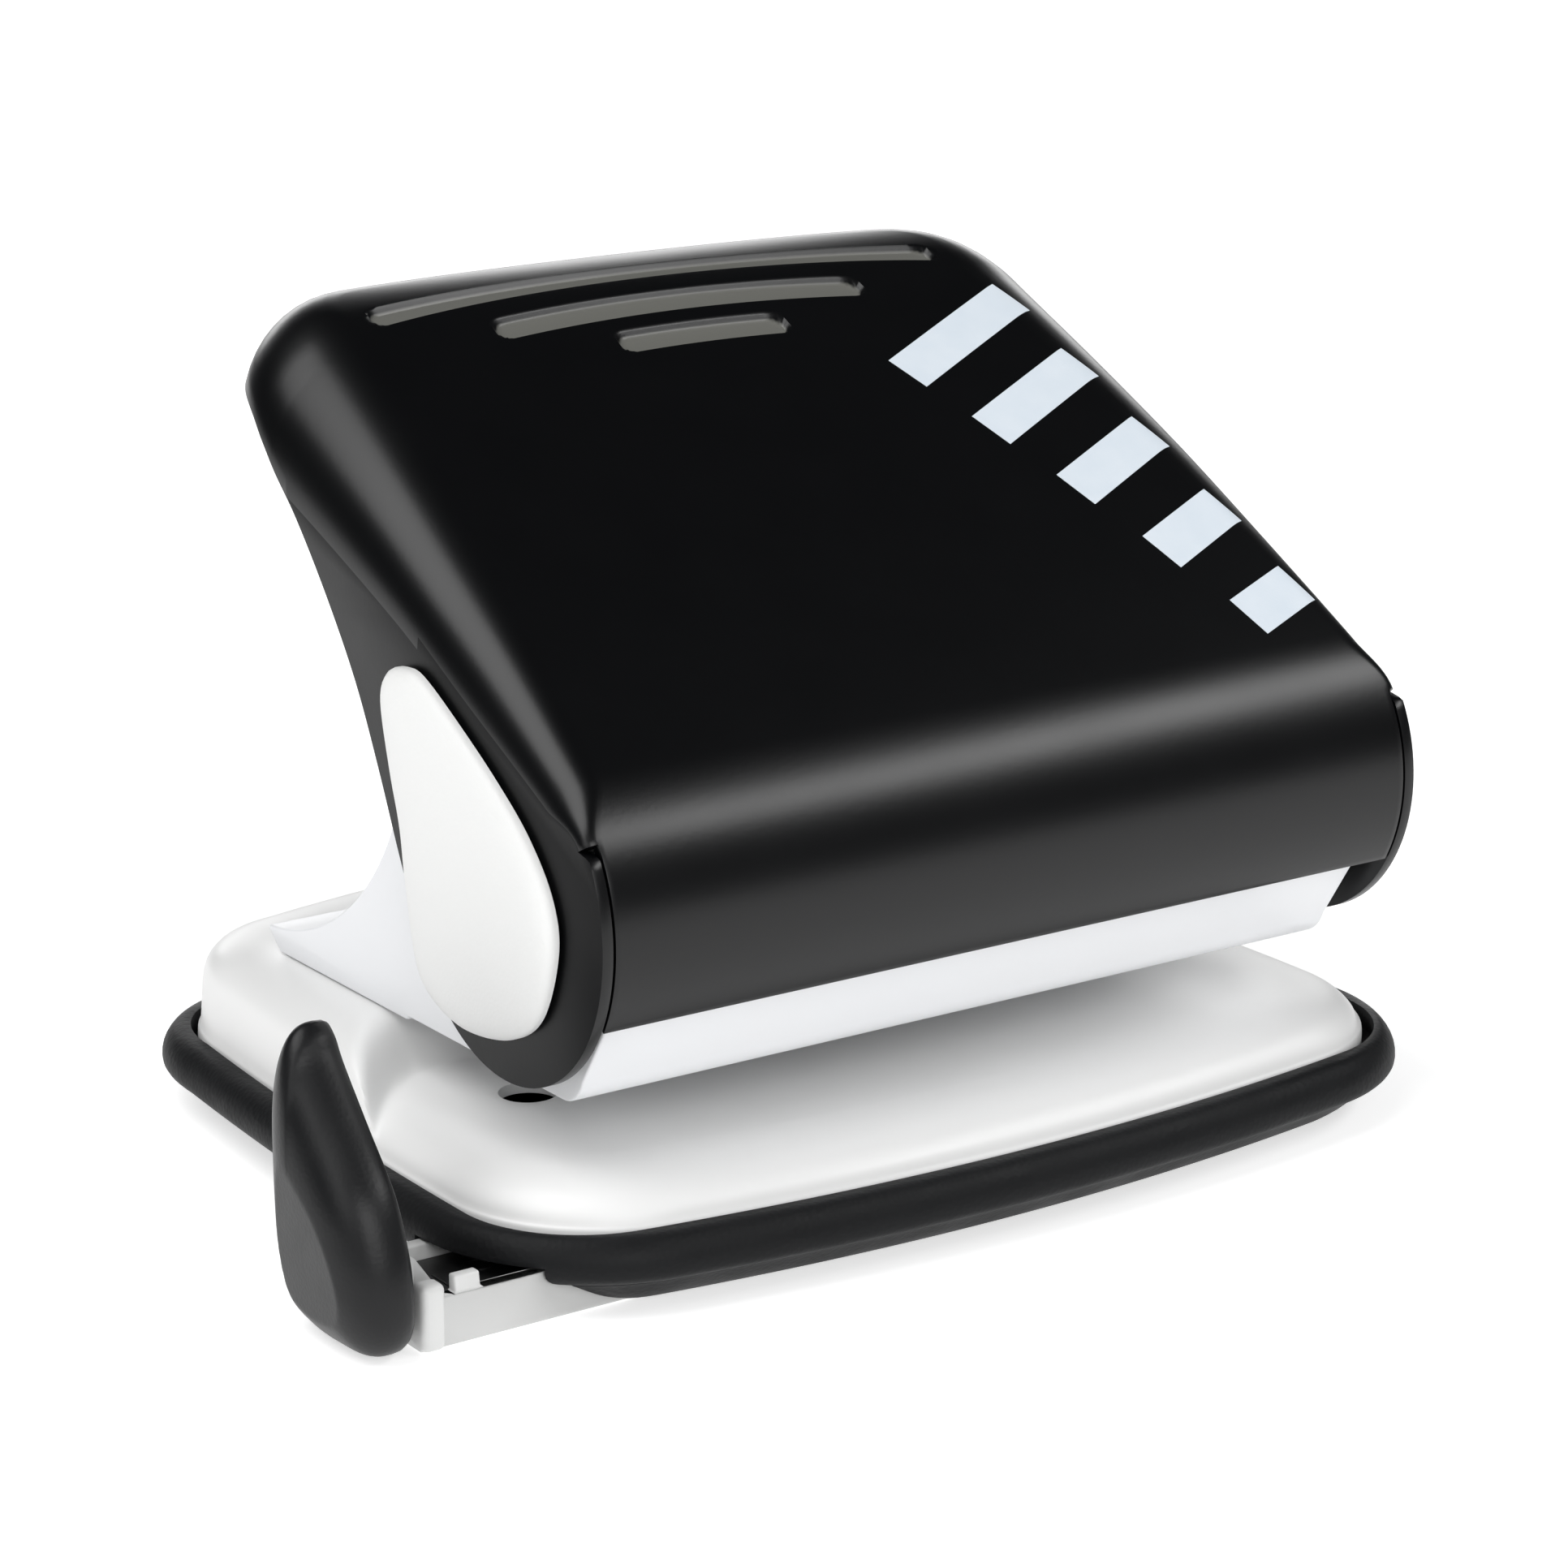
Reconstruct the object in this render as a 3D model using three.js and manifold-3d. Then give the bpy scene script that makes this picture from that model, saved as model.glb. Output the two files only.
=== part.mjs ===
// Two-hole desk punch for ring-binder paper, closed at rest with its handle up.
// Millimetres, +Z up, +X to the right, +Y towards the back. The parts are drawn with
// Y = 0 at the front edge of the handle, and the whole group is then moved so that the
// origin is on the ground under the middle of the chip tray.
import * as THREE from 'three';
import { mergeVertices } from 'three/addons/utils/BufferGeometryUtils.js';
import Module from 'manifold-3d';

const wasm = await Module();
wasm.setup();

// Driving dimensions
const TRAY_CENTRE_Y = 43;
const HOLE_SPACING = 80;
const PAPER_STOP_Y = 41.5;
const PAPER_MARGIN = 12;
const PIN_Y = PAPER_STOP_Y - PAPER_MARGIN;

const PIVOT_Y = 15.5;
const PIVOT_Z = 38.3;
const NOSE_R = 18;
const SHEET = 1.2;
const GAP = 0.3;

const BED_Z = 12.6;
const PLATFORM_Z = 18.4;
const JAW_Z = 19;
const FRAME_X = 47.5;
const HANDLE_X = 51;
const FOOTPRINT_X = 56.5;

const PIN_R = 2.75;
const PIN_TIP_Z = JAW_Z + 0.1;
const PIN_TOP_Z = 41.35;
const AXLE_R = 2.5;

const RAIL_FRONT_Y = 3;
const RAIL_BACK_Y = 17.3;
const RAIL_OUT_X = -68.5;
const RAIL_IN_X = 38;

const DEG = Math.PI / 180;
const ROUND = 20;

// ---------- solids ----------

function toSolid(geometry) {
  const bare = geometry.index ? geometry.toNonIndexed() : geometry.clone();
  bare.deleteAttribute('normal');
  bare.deleteAttribute('uv');
  const merged = mergeVertices(bare, 1e-4);
  return new wasm.Manifold(new wasm.Mesh({
    numProp: 3,
    vertProperties: new Float32Array(merged.attributes.position.array),
    triVerts: new Uint32Array(merged.index.array),
  }));
}

function toGeometry(solid) {
  const mesh = solid.getMesh();
  const geometry = new THREE.BufferGeometry();
  geometry.setAttribute('position', new THREE.BufferAttribute(mesh.vertProperties, 3));
  geometry.setIndex(new THREE.BufferAttribute(mesh.triVerts, 1));
  return geometry;
}

const joined = (...solids) => solids.reduce((sum, next) => sum.add(next));
const cutFrom = (solid, ...tools) => tools.reduce((rest, tool) => rest.subtract(tool), solid);

function box(x0, x1, y0, y1, z0, z1) {
  const geometry = new THREE.BoxGeometry(x1 - x0, y1 - y0, z1 - z0);
  geometry.translate((x0 + x1) / 2, (y0 + y1) / 2, (z0 + z1) / 2);
  return toSolid(geometry);
}

function upright(radius, x, y, z0, z1, sides = ROUND) {
  const geometry = new THREE.CylinderGeometry(radius, radius, z1 - z0, sides);
  geometry.rotateX(Math.PI / 2);
  geometry.translate(x, y, (z0 + z1) / 2);
  return toSolid(geometry);
}

function crosswise(radius, x0, x1, y, z, sides = ROUND) {
  const geometry = new THREE.CylinderGeometry(radius, radius, x1 - x0, sides);
  geometry.rotateZ(Math.PI / 2);
  geometry.translate((x0 + x1) / 2, y, z);
  return toSolid(geometry);
}

// A closed outline drawn in (y, z), run along X from x0 to x1.
function acrossX(outline, x0, x1) {
  const shape = new THREE.Shape(outline);
  const geometry = new THREE.ExtrudeGeometry(shape, { depth: x1 - x0, bevelEnabled: false });
  geometry.rotateX(Math.PI / 2);
  geometry.rotateZ(Math.PI / 2);
  geometry.translate(x0, 0, 0);
  return toSolid(geometry);
}

// A lathe about a vertical axis through (x, y); the profile is in (radius, z).
function turned(profile, x, y, sides = ROUND) {
  const points = profile.map(([r, z]) => new THREE.Vector2(r, z));
  const geometry = new THREE.LatheGeometry(points, sides);
  geometry.rotateX(Math.PI / 2);
  geometry.translate(x, y, 0);
  return toSolid(geometry);
}

// Quads and fans of 3-D points, gathered into one closed geometry.
class Skin {
  corners = [];

  tri(a, b, c) {
    if (a.distanceTo(b) < 1e-4 || b.distanceTo(c) < 1e-4 || c.distanceTo(a) < 1e-4) return;
    this.corners.push(...a.toArray(), ...b.toArray(), ...c.toArray());
  }

  quad(a, b, c, d) {
    this.tri(a, b, c);
    this.tri(a, c, d);
  }

  solid() {
    const geometry = new THREE.BufferGeometry();
    geometry.setAttribute('position', new THREE.Float32BufferAttribute(this.corners, 3));
    return toSolid(geometry);
  }
}

// Stacks closed loops of equal length, first to last, and closes both ends with flat caps.
function stacked(loops) {
  const skin = new Skin();
  for (let k = 0; k + 1 < loops.length; k += 1) {
    const low = loops[k];
    const high = loops[k + 1];
    low.forEach((point, i) => {
      const next = (i + 1) % low.length;
      skin.quad(point, low[next], high[next], high[i]);
    });
  }
  const first = loops[0];
  const last = loops[loops.length - 1];
  capTriangles(first).forEach(([a, b, c]) => skin.tri(first[a], first[c], first[b]));
  capTriangles(last).forEach(([a, b, c]) => skin.tri(last[a], last[b], last[c]));
  return skin.solid();
}

// Triangles that fill a flat loop, wound as the loop is. The loop lies in a plane of
// constant z, or of constant x for side pieces.
function capTriangles(loop) {
  const inX = Math.abs(loop[0].x - loop[5].x) < 1e-6 && Math.abs(loop[0].x - loop[9].x) < 1e-6;
  const flat = loop.map((p) => (inX ? new THREE.Vector2(p.y, p.z) : new THREE.Vector2(p.x, p.y)));
  const triangles = THREE.ShapeUtils.triangulateShape(flat, []);
  const clockwise = THREE.ShapeUtils.area(flat) < 0;
  return clockwise ? triangles.map(([a, b, c]) => [a, c, b]) : triangles;
}

function arc(y, z, radius, fromDeg, toDeg, steps) {
  return Array.from({ length: steps + 1 }, (_, i) => {
    const angle = (fromDeg + (toDeg - fromDeg) * i / steps) * DEG;
    return new THREE.Vector2(y + radius * Math.cos(angle), z + radius * Math.sin(angle));
  });
}

const vectors = (pairs) => pairs.map(([a, b]) => new THREE.Vector2(a, b));

// Moves each point of an open path to its left by the given distance.
function beside(path, distance) {
  return path.map((point, i) => {
    const before = path[Math.max(i - 1, 0)];
    const after = path[Math.min(i + 1, path.length - 1)];
    const along = after.clone().sub(before).normalize();
    return new THREE.Vector2(point.x - along.y * distance, point.y + along.x * distance);
  });
}

// A bent sheet: the path is its outer face, and the metal lies to the left of it.
function bentSheet(path, thickness, x0, x1) {
  return acrossX([...path, ...beside(path, thickness).reverse()], x0, x1);
}

// ---------- footprint of the base and the tray ----------

const FRONT_Y = -3;
const BACK_Y = 90;
const FRONT_BOW = 0.00186;
const BACK_BOW = 0.00274;
const SIDE_BOW = 0.0009;
const SIDE_WIDEST_Y = 20;
const FRONT_CORNER = 14;
const BACK_CORNER = 11.5;

// The rounded outline in plan, grown outwards by the given distance, anticlockwise.
function footprint(grow, frontY = null) {
  const halfWidth = FOOTPRINT_X + grow;
  const frontCornerSize = Math.max(FRONT_CORNER + 0.8 * grow, 5);
  const backCornerSize = Math.max(BACK_CORNER + 0.6 * grow, 5);
  const frontEdge = (x) => (frontY ?? FRONT_Y - grow) + (frontY === null ? FRONT_BOW : 0) * x * x;
  const backEdge = (x) => BACK_Y + grow - BACK_BOW * x * x;
  const sideEdge = (y) => halfWidth - SIDE_BOW * (y - SIDE_WIDEST_Y) ** 2;
  const innerX = halfWidth - frontCornerSize;
  const frontSideY = frontEdge(halfWidth) + frontCornerSize;
  const backSideY = backEdge(halfWidth) - backCornerSize;
  const backInnerX = sideEdge(backSideY) - backCornerSize;
  const front = Array.from({ length: 6 }, (_, i) => [innerX * i / 6, frontEdge(innerX * i / 6)]);
  const frontCorner = cornerCurve(
    [innerX, frontEdge(innerX)], [sideEdge(frontSideY), frontEdge(halfWidth)],
    [sideEdge(frontSideY), frontSideY]);
  const side = Array.from({ length: 5 }, (_, i) => {
    const y = frontSideY + (backSideY - frontSideY) * (i + 1) / 6;
    return [sideEdge(y), y];
  });
  const backCorner = cornerCurve(
    [sideEdge(backSideY), backSideY], [sideEdge(backSideY), backEdge(backInnerX) - 1],
    [backInnerX, backEdge(backInnerX)]);
  const back = Array.from({ length: 6 }, (_, i) => {
    const x = backInnerX * (5 - i) / 6;
    return [x, backEdge(x)];
  });
  const right = [...front, ...frontCorner, ...side, ...backCorner, ...back];
  const left = right.slice(1, -1).reverse().map(([x, y]) => [-x, y]);
  return [...right, ...left];
}

function cornerCurve(start, knee, end) {
  const toward = (a, b) => new THREE.Vector2(a[0] + (b[0] - a[0]) * 0.58, a[1] + (b[1] - a[1]) * 0.58);
  const curve = new THREE.CubicBezierCurve(
    new THREE.Vector2(...start), toward(start, knee), toward(end, knee), new THREE.Vector2(...end));
  return curve.getPoints(7).map((p) => [p.x, p.y]);
}

// Levels are [z, growth]; the result is the footprint moulded through them.
function moulded(levels, frontY = null) {
  return stacked(levels.map(([z, grow]) => (
    footprint(grow, frontY).map(([x, y]) => new THREE.Vector3(x, y, z)))));
}

// ---------- chip tray ----------

const TRAY_FLOOR = 1.4;
const TRAY_SEAT_Z = 6.1;
const CHANNEL_TOP_Z = 5.6;
const CHANNEL_ROOF_Z = 7;

function chipTray() {
  const outside = moulded([
    [0, -1.9], [2.4, 0.6], [3.5, 2.2], [4.2, 3.5], [5.4, 4], [6.6, 3.9], [7.4, 3], [7.7, 1.6],
  ]);
  const chips = moulded([[TRAY_FLOOR, -4.6], [9, -3.6]], RAIL_BACK_Y + 2);
  const overChannel = moulded([[CHANNEL_ROOF_Z, -3.6], [9, -3.6]]);
  const seat = moulded([[TRAY_SEAT_Z, 0.35], [9, 0.35]]).subtract(moulded([[5, -2.4], [10, -2.4]]));
  const channel = box(
    -70, RAIL_IN_X + 1.5, RAIL_FRONT_Y - GAP, RAIL_BACK_Y + GAP, -1, CHANNEL_TOP_Z);
  const mouth = box(-70, -49, -12, RAIL_BACK_Y + GAP, -1, 3.2);
  const leafPocket = box(
    LEAF_X0 - 1, LEAF_X1 + 1, LEAF_Y0 - 0.6, LEAF_Y1 + 0.6, 5, LEAF_TOP_Z + 0.5);
  return cutFrom(outside, chips, overChannel, seat, channel, mouth, leafPocket);
}

const LEAF_X0 = -44;
const LEAF_X1 = -28;
const LEAF_Y0 = 8;
const LEAF_Y1 = 12.5;
const LEAF_TOP_Z = 5.7;

// Thin arched steel leaf in the roof of the channel. Its middle bears on the rail.
function detentLeaf() {
  const middle = (LEAF_X0 + LEAF_X1) / 2;
  const half = (LEAF_X1 - LEAF_X0) / 2;
  const sag = (x) => LEAF_TOP_Z - 1 * Math.exp(-(((x - middle) / (half * 0.4)) ** 2));
  const top = Array.from({ length: 17 }, (_, i) => {
    const x = LEAF_X0 + (LEAF_X1 - LEAF_X0) * i / 16;
    return new THREE.Vector2(x, sag(x));
  });
  const outline = [...top, ...top.map((p) => new THREE.Vector2(p.x, p.y - 0.35)).reverse()];
  const geometry = new THREE.ExtrudeGeometry(new THREE.Shape(outline), {
    depth: LEAF_Y1 - LEAF_Y0, bevelEnabled: false,
  });
  geometry.rotateX(Math.PI / 2);
  geometry.translate(0, LEAF_Y1, 0);
  return toSolid(geometry);
}

// ---------- base plate ----------

const BASE_BOTTOM_Z = TRAY_SEAT_Z + GAP;
const DIE_R = 3.1;
const FRAME_RIVETS = [[-41, 50.5], [41, 50.5], [-41, 58], [41, 58]];
const RIVET_R = 1.6;

// Bed and platform. The inside is the same shape, one sheet smaller.
function basePlate() {
  const bed = moulded([
    [BASE_BOTTOM_Z, 0], [8.2, 0], [9.6, -0.7], [10.9, -2.1], [11.8, -4], [12.4, -6.6], [BED_Z, -9.5],
  ]);
  const bedInside = moulded([
    [BASE_BOTTOM_Z - 1, -1.2], [8.1, -1.2], [9.3, -2], [10.2, -3.4], [10.9, -5.6], [11.4, -9.5],
  ]);
  const platform = moulded([
    [BASE_BOTTOM_Z, 0], [12, -0.2], [15.4, -0.7], [17.2, -2], [18.1, -4], [PLATFORM_Z, -6.5],
  ]).subtract(stepCutter(0));
  const platformInside = moulded([
    [BASE_BOTTOM_Z - 1, -1.2], [12, -1.4], [15, -2], [16.2, -3.4], [17, -5.4], [17.2, -8],
  ]).subtract(stepCutter(1.2));
  const shell = joined(bed, platform).subtract(bedInside.add(platformInside));
  const dies = [-1, 1].map((side) => (
    upright(DIE_R, side * HOLE_SPACING / 2, PIN_Y, 5, 20)));
  const rivetHoles = FRAME_RIVETS.map(([x, y]) => upright(RIVET_R + 0.25, x, y, 15, 20, 16));
  return cutFrom(shell, ...dies, ...rivetHoles);
}

// Everything in front of the paper stop and above the bed. The stop runs straight across
// between the frame's sides and swings forward towards the edges of the plate.
function stepCutter(deeper) {
  const foot = (x) => PAPER_STOP_Y + deeper - 0.055 * Math.max(Math.abs(x) - 41, 0) ** 2;
  const line = (z, back) => {
    const xs = Array.from({ length: 25 }, (_, i) => -60 + 5 * i);
    const edge = xs.map((x) => new THREE.Vector3(x, foot(x) + back, z));
    const front = [...xs].reverse().map((x) => new THREE.Vector3(x, -40, z));
    return [...front, ...edge];
  };
  const sunk = 11.4 - deeper;
  return stacked([
    line(sunk - 8, 0), line(sunk, 0), line(13.2, 0.3), line(15.8, 1.6), line(17.4, 3),
    line(18.2, 4.6), line(19.5, 5.4)].map((loop) => loop.reverse()));
}

// ---------- punch frame ----------

const FRAME_SHEET = 1.5;
const FRAME_TOP_Z = 46;
const FRAME_FRONT_R = 16.2;
const LIP_R = 4;
const LIP_Y = 10.8;
const SWEEP_R = 34;
const SWEEP_Y = 73;
const SWEEP_Z = 55;
const SWEEP_FOOT_DEG = 266.5;
const SWEEP_TOP_Z = FRAME_TOP_Z - 2;

// Front sheet: down behind the nose of the handle, then the slanted apron, the rolled lip,
// and back along the jaw that holds the pins square over the dies.
function frontPath() {
  return [
    ...arc(PIVOT_Y, PIVOT_Z, FRAME_FRONT_R, 151.6, 207, 8),
    ...arc(LIP_Y, JAW_Z + LIP_R, LIP_R, 197, 270, 5),
    new THREE.Vector2(PAPER_STOP_Y - 1, JAW_Z),
  ];
}

// Rear sheet: the concave sweep from the platform up under the handle.
function sweepArc(radius, fromDeg, steps) {
  const topAngle = 180 - Math.asin((SWEEP_TOP_Z - SWEEP_Z) / radius) / DEG;
  return arc(SWEEP_Y, SWEEP_Z, radius, fromDeg, topAngle, steps);
}

function framePlate() {
  return [
    ...frontPath(),
    ...vectors([[PAPER_STOP_Y + 0.5, PLATFORM_Z + GAP], [68.3, PLATFORM_Z + GAP]]),
    ...sweepArc(SWEEP_R, SWEEP_FOOT_DEG, 12),
    new THREE.Vector2(38, FRAME_TOP_Z),
  ];
}

function punchFrame() {
  const sides = [-FRAME_X, FRAME_X - FRAME_SHEET].map((x) => (
    acrossX(framePlate(), x, x + FRAME_SHEET)));
  const front = bentSheet(frontPath(), FRAME_SHEET, -FRAME_X, FRAME_X);
  const rear = acrossX([
    new THREE.Vector2(68.3, PLATFORM_Z + GAP),
    ...sweepArc(SWEEP_R, SWEEP_FOOT_DEG, 12),
    ...sweepArc(SWEEP_R + 1.3, SWEEP_FOOT_DEG - 5, 12).reverse(),
    new THREE.Vector2(66.5, PLATFORM_Z + GAP),
  ], -FRAME_X, FRAME_X);
  const feet = [-FRAME_X, FRAME_X - 10].map((x) => (
    box(x, x + 10, 43, 67, PLATFORM_Z + GAP, PLATFORM_Z + GAP + FRAME_SHEET)));
  const pinHoles = [-1, 1].map((side) => (
    upright(PIN_R + 0.25, side * HOLE_SPACING / 2, PIN_Y, 16, 22)));
  const rivetHoles = FRAME_RIVETS.map(([x, y]) => upright(RIVET_R + 0.25, x, y, 17, 22, 16));
  const axleHole = crosswise(AXLE_R + 0.2, -60, 60, PIVOT_Y, PIVOT_Z);
  return cutFrom(joined(...sides, front, rear, ...feet), ...pinHoles, ...rivetHoles, axleHole);
}

const GUIDE_TOP_Z = 25;

// Folded steel channel on the jaw: its upper face guides the pins and carries the springs.
function pinGuideBracket() {
  const bottom = JAW_Z + FRAME_SHEET + GAP;
  const outline = vectors([
    [22.5, bottom], [22.5, GUIDE_TOP_Z - 1], [23.5, GUIDE_TOP_Z], [35.5, GUIDE_TOP_Z],
    [36.5, GUIDE_TOP_Z - 1], [36.5, bottom], [35.1, bottom], [35.1, GUIDE_TOP_Z - 1.4],
    [23.9, GUIDE_TOP_Z - 1.4], [23.9, bottom],
  ]);
  const channel = acrossX(outline, -45.4, 45.4);
  const holes = [-1, 1].map((side) => (
    upright(PIN_R + 0.2, side * HOLE_SPACING / 2, PIN_Y, 22, 27)));
  return cutFrom(channel, ...holes);
}

function frameRivet([x, y]) {
  const top = PLATFORM_Z + GAP + FRAME_SHEET + 0.2;
  const under = PLATFORM_Z - SHEET - 0.2;
  return turned([
    [0, under - 1], [2.6, under - 0.6], [2.6, under], [RIVET_R, under], [RIVET_R, top],
    [3, top], [2.6, top + 0.7], [1.4, top + 1.3], [0, top + 1.4],
  ], x, y, 14);
}

// ---------- punch pins ----------

const PIN_HEAD_R = 4.6;
const PIN_DOME_R = 6;
const COLLAR_TOP_Z = 37.6;

function punchPin(side) {
  const x = side * HOLE_SPACING / 2;
  const domeRise = PIN_DOME_R - Math.sqrt(PIN_DOME_R ** 2 - PIN_HEAD_R ** 2);
  const headZ = PIN_TOP_Z - domeRise - 1.2;
  const dome = Array.from({ length: 5 }, (_, i) => {
    const r = PIN_HEAD_R * (1 - i / 4);
    return [r, PIN_TOP_Z - PIN_DOME_R + Math.sqrt(PIN_DOME_R ** 2 - r ** 2)];
  });
  const pin = turned([
    [0, PIN_TIP_Z], [PIN_R, PIN_TIP_Z], [PIN_R, headZ], [PIN_HEAD_R, headZ], ...dome,
  ], x, PIN_Y);
  const notch = acrossX(vectors([
    [PIN_Y - 2.6, PIN_TIP_Z - 1], [PIN_Y + 2.6, PIN_TIP_Z - 1], [PIN_Y, PIN_TIP_Z + 1.1],
  ]), x - 4, x + 4);
  return pin.subtract(notch);
}

function springCollar(side) {
  return turned([
    [PIN_R + 0.25, COLLAR_TOP_Z - 1.2], [4.5, COLLAR_TOP_Z - 1.2], [4.7, COLLAR_TOP_Z - 1],
    [4.7, COLLAR_TOP_Z], [PIN_R + 0.25, COLLAR_TOP_Z], [PIN_R + 0.25, COLLAR_TOP_Z - 1.2],
  ], side * HOLE_SPACING / 2, PIN_Y);
}

const SPRING_R = 3.75;
const WIRE_R = 0.42;
const SPRING_TURNS = 4.5;

class Helix extends THREE.Curve {
  constructor(x, bottom, top) {
    super();
    Object.assign(this, { x, bottom, top });
  }

  getPoint(t, target = new THREE.Vector3()) {
    const angle = 2 * Math.PI * SPRING_TURNS * t;
    return target.set(
      this.x + SPRING_R * Math.cos(angle), PIN_Y + SPRING_R * Math.sin(angle),
      this.bottom + (this.top - this.bottom) * t);
  }
}

function returnSpring(side) {
  const bottom = GUIDE_TOP_Z + GAP + WIRE_R;
  const top = COLLAR_TOP_Z - 1.2 - GAP - WIRE_R;
  const wire = new THREE.Shape(arc(0, 0, WIRE_R, 0, 300, 5));
  return toSolid(new THREE.ExtrudeGeometry(wire, {
    steps: 54, bevelEnabled: false, extrudePath: new Helix(side * HOLE_SPACING / 2, bottom, top),
  }));
}

// ---------- handle ----------

const PANEL_Y0 = PIVOT_Y + NOSE_R * Math.cos(123 * DEG);
const PANEL_Z0 = PIVOT_Z + NOSE_R * Math.sin(123 * DEG);
const PANEL_SLOPE0 = 33;
const PANEL_SLOPE1 = 27;
const CURL_Y = 62;
const CURL_R = 26;
const HANDLE_BACK_Y = 83;
const HANDLE_BOW = 0.0025;
const HANDLE_CORNER = 15;
const BEND_FRONT = 3.6;
const BEND_BACK = 13.5;

// Height of the top panel's outer face: a slowly flattening slope, then the curl at the back.
function panelZ(y) {
  const rise = (to) => {
    const half = (to - PANEL_Y0) / 2;
    const middleSlope = PANEL_SLOPE0 + (PANEL_SLOPE1 - PANEL_SLOPE0) * half / (CURL_Y - PANEL_Y0);
    return PANEL_Z0 + 2 * half * Math.tan(middleSlope * DEG);
  };
  if (y <= CURL_Y) return rise(y);
  const crestY = CURL_Y + CURL_R * Math.sin(PANEL_SLOPE1 * DEG);
  const crestZ = rise(CURL_Y) + CURL_R * (1 - Math.cos(PANEL_SLOPE1 * DEG));
  return crestZ - CURL_R + Math.sqrt(CURL_R ** 2 - (y - crestY) ** 2);
}

// Half of the handle's outline in plan, from the front of the panel round to the middle of
// the back. Each entry is a point, its inward normal and the radius of the bend there.
function handleEdge() {
  const cornerY = HANDLE_BACK_Y - HANDLE_BOW * (HANDLE_X - HANDLE_CORNER) ** 2 - HANDLE_CORNER;
  const bend = (y) => BEND_FRONT + (BEND_BACK - BEND_FRONT) * (y - PANEL_Y0) / (cornerY - PANEL_Y0);
  const side = Array.from({ length: 12 }, (_, i) => {
    const y = PANEL_Y0 + (cornerY - PANEL_Y0) * i / 12;
    return { x: HANDLE_X, y, inX: -1, inY: 0, bend: bend(y) };
  });
  const corner = Array.from({ length: 9 }, (_, i) => {
    const angle = 84 * DEG * i / 8;
    return {
      x: HANDLE_X - HANDLE_CORNER + HANDLE_CORNER * Math.cos(angle),
      y: cornerY + HANDLE_CORNER * Math.sin(angle),
      inX: -Math.cos(angle), inY: -Math.sin(angle), bend: BEND_BACK - 4 * (i / 8) ** 2,
    };
  });
  const lastX = corner[8].x;
  const back = Array.from({ length: 7 }, (_, i) => {
    const x = lastX * (6 - i) / 7 * (i < 6 ? 1 : 0);
    const lean = 2 * HANDLE_BOW * x;
    const size = Math.hypot(1, lean);
    return { x, y: HANDLE_BACK_Y - HANDLE_BOW * x * x, inX: -lean / size, inY: -1 / size, bend: 8 };
  });
  return [...side, ...corner, ...back];
}

// The solid under the handle's outer face, or under its inner face when inset by the sheet.
function handleBlock(inset, bottomZ) {
  const edge = handleEdge();
  const rings = [0, 0, 12, 26, 42, 62, 90];
  const at = (e, k, side) => {
    const radius = Math.max(e.bend - inset, 0.4);
    const turn = rings[k] * DEG;
    const inward = inset + radius * (1 - Math.cos(turn));
    const y = Math.max(e.y + e.inY * inward, PANEL_Y0);
    const x = Math.max(e.x + e.inX * inward, 0);
    const top = panelZ(y) - inset * 1.16;
    return new THREE.Vector3(side * x, y, k === 0 ? bottomZ : top - radius * (1 - Math.sin(turn)));
  };
  const skin = new Skin();
  const last = rings.length - 1;
  for (let j = 0; j + 1 < edge.length; j += 1) {
    for (let k = 0; k < last; k += 1) {
      const [here, next] = [edge[j], edge[j + 1]];
      skin.quad(at(here, k, 1), at(next, k, 1), at(next, k + 1, 1), at(here, k + 1, 1));
      skin.quad(at(next, k, -1), at(here, k, -1), at(here, k + 1, -1), at(next, k + 1, -1));
    }
    const across = (k) => [[j, -1], [j, 1], [j + 1, 1], [j + 1, -1]].map(([i, s]) => at(edge[i], k, s));
    skin.quad(...across(last));
    skin.quad(...across(0).reverse());
  }
  for (let k = 0; k < last; k += 1) {
    skin.quad(at(edge[0], k, -1), at(edge[0], k, 1), at(edge[0], k + 1, 1), at(edge[0], k + 1, -1));
  }
  return skin.solid();
}

// Rear edge of a side plate, from the disc round the pivot up to the back corner.
const plateRear = new THREE.SplineCurve(vectors([
  [32.7, 32.8], [35.7, 38.7], [39.4, 46.7], [43.6, 54.7], [49.1, 62.4], [55.6, 70], [61, 75], [65.2, 80.2],
]));

function sideOutline() {
  const startY = PANEL_Y0 + 0.2;
  const startAngle = 180 + Math.acos((PIVOT_Y - startY) / NOSE_R) / DEG;
  return [
    new THREE.Vector2(startY, 110),
    ...arc(PIVOT_Y, PIVOT_Z, NOSE_R, startAngle, 342, 12),
    ...plateRear.getPoints(16).slice(1),
    ...vectors([[72, 82.6], [95, 83.4], [95, 110]]),
  ];
}

const SLIT_X = 49.5;
const NECK_X = 50.2;
const SLIT_TOP_DEG = 147;
const SKIRT_DEG = 209.6;

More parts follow.
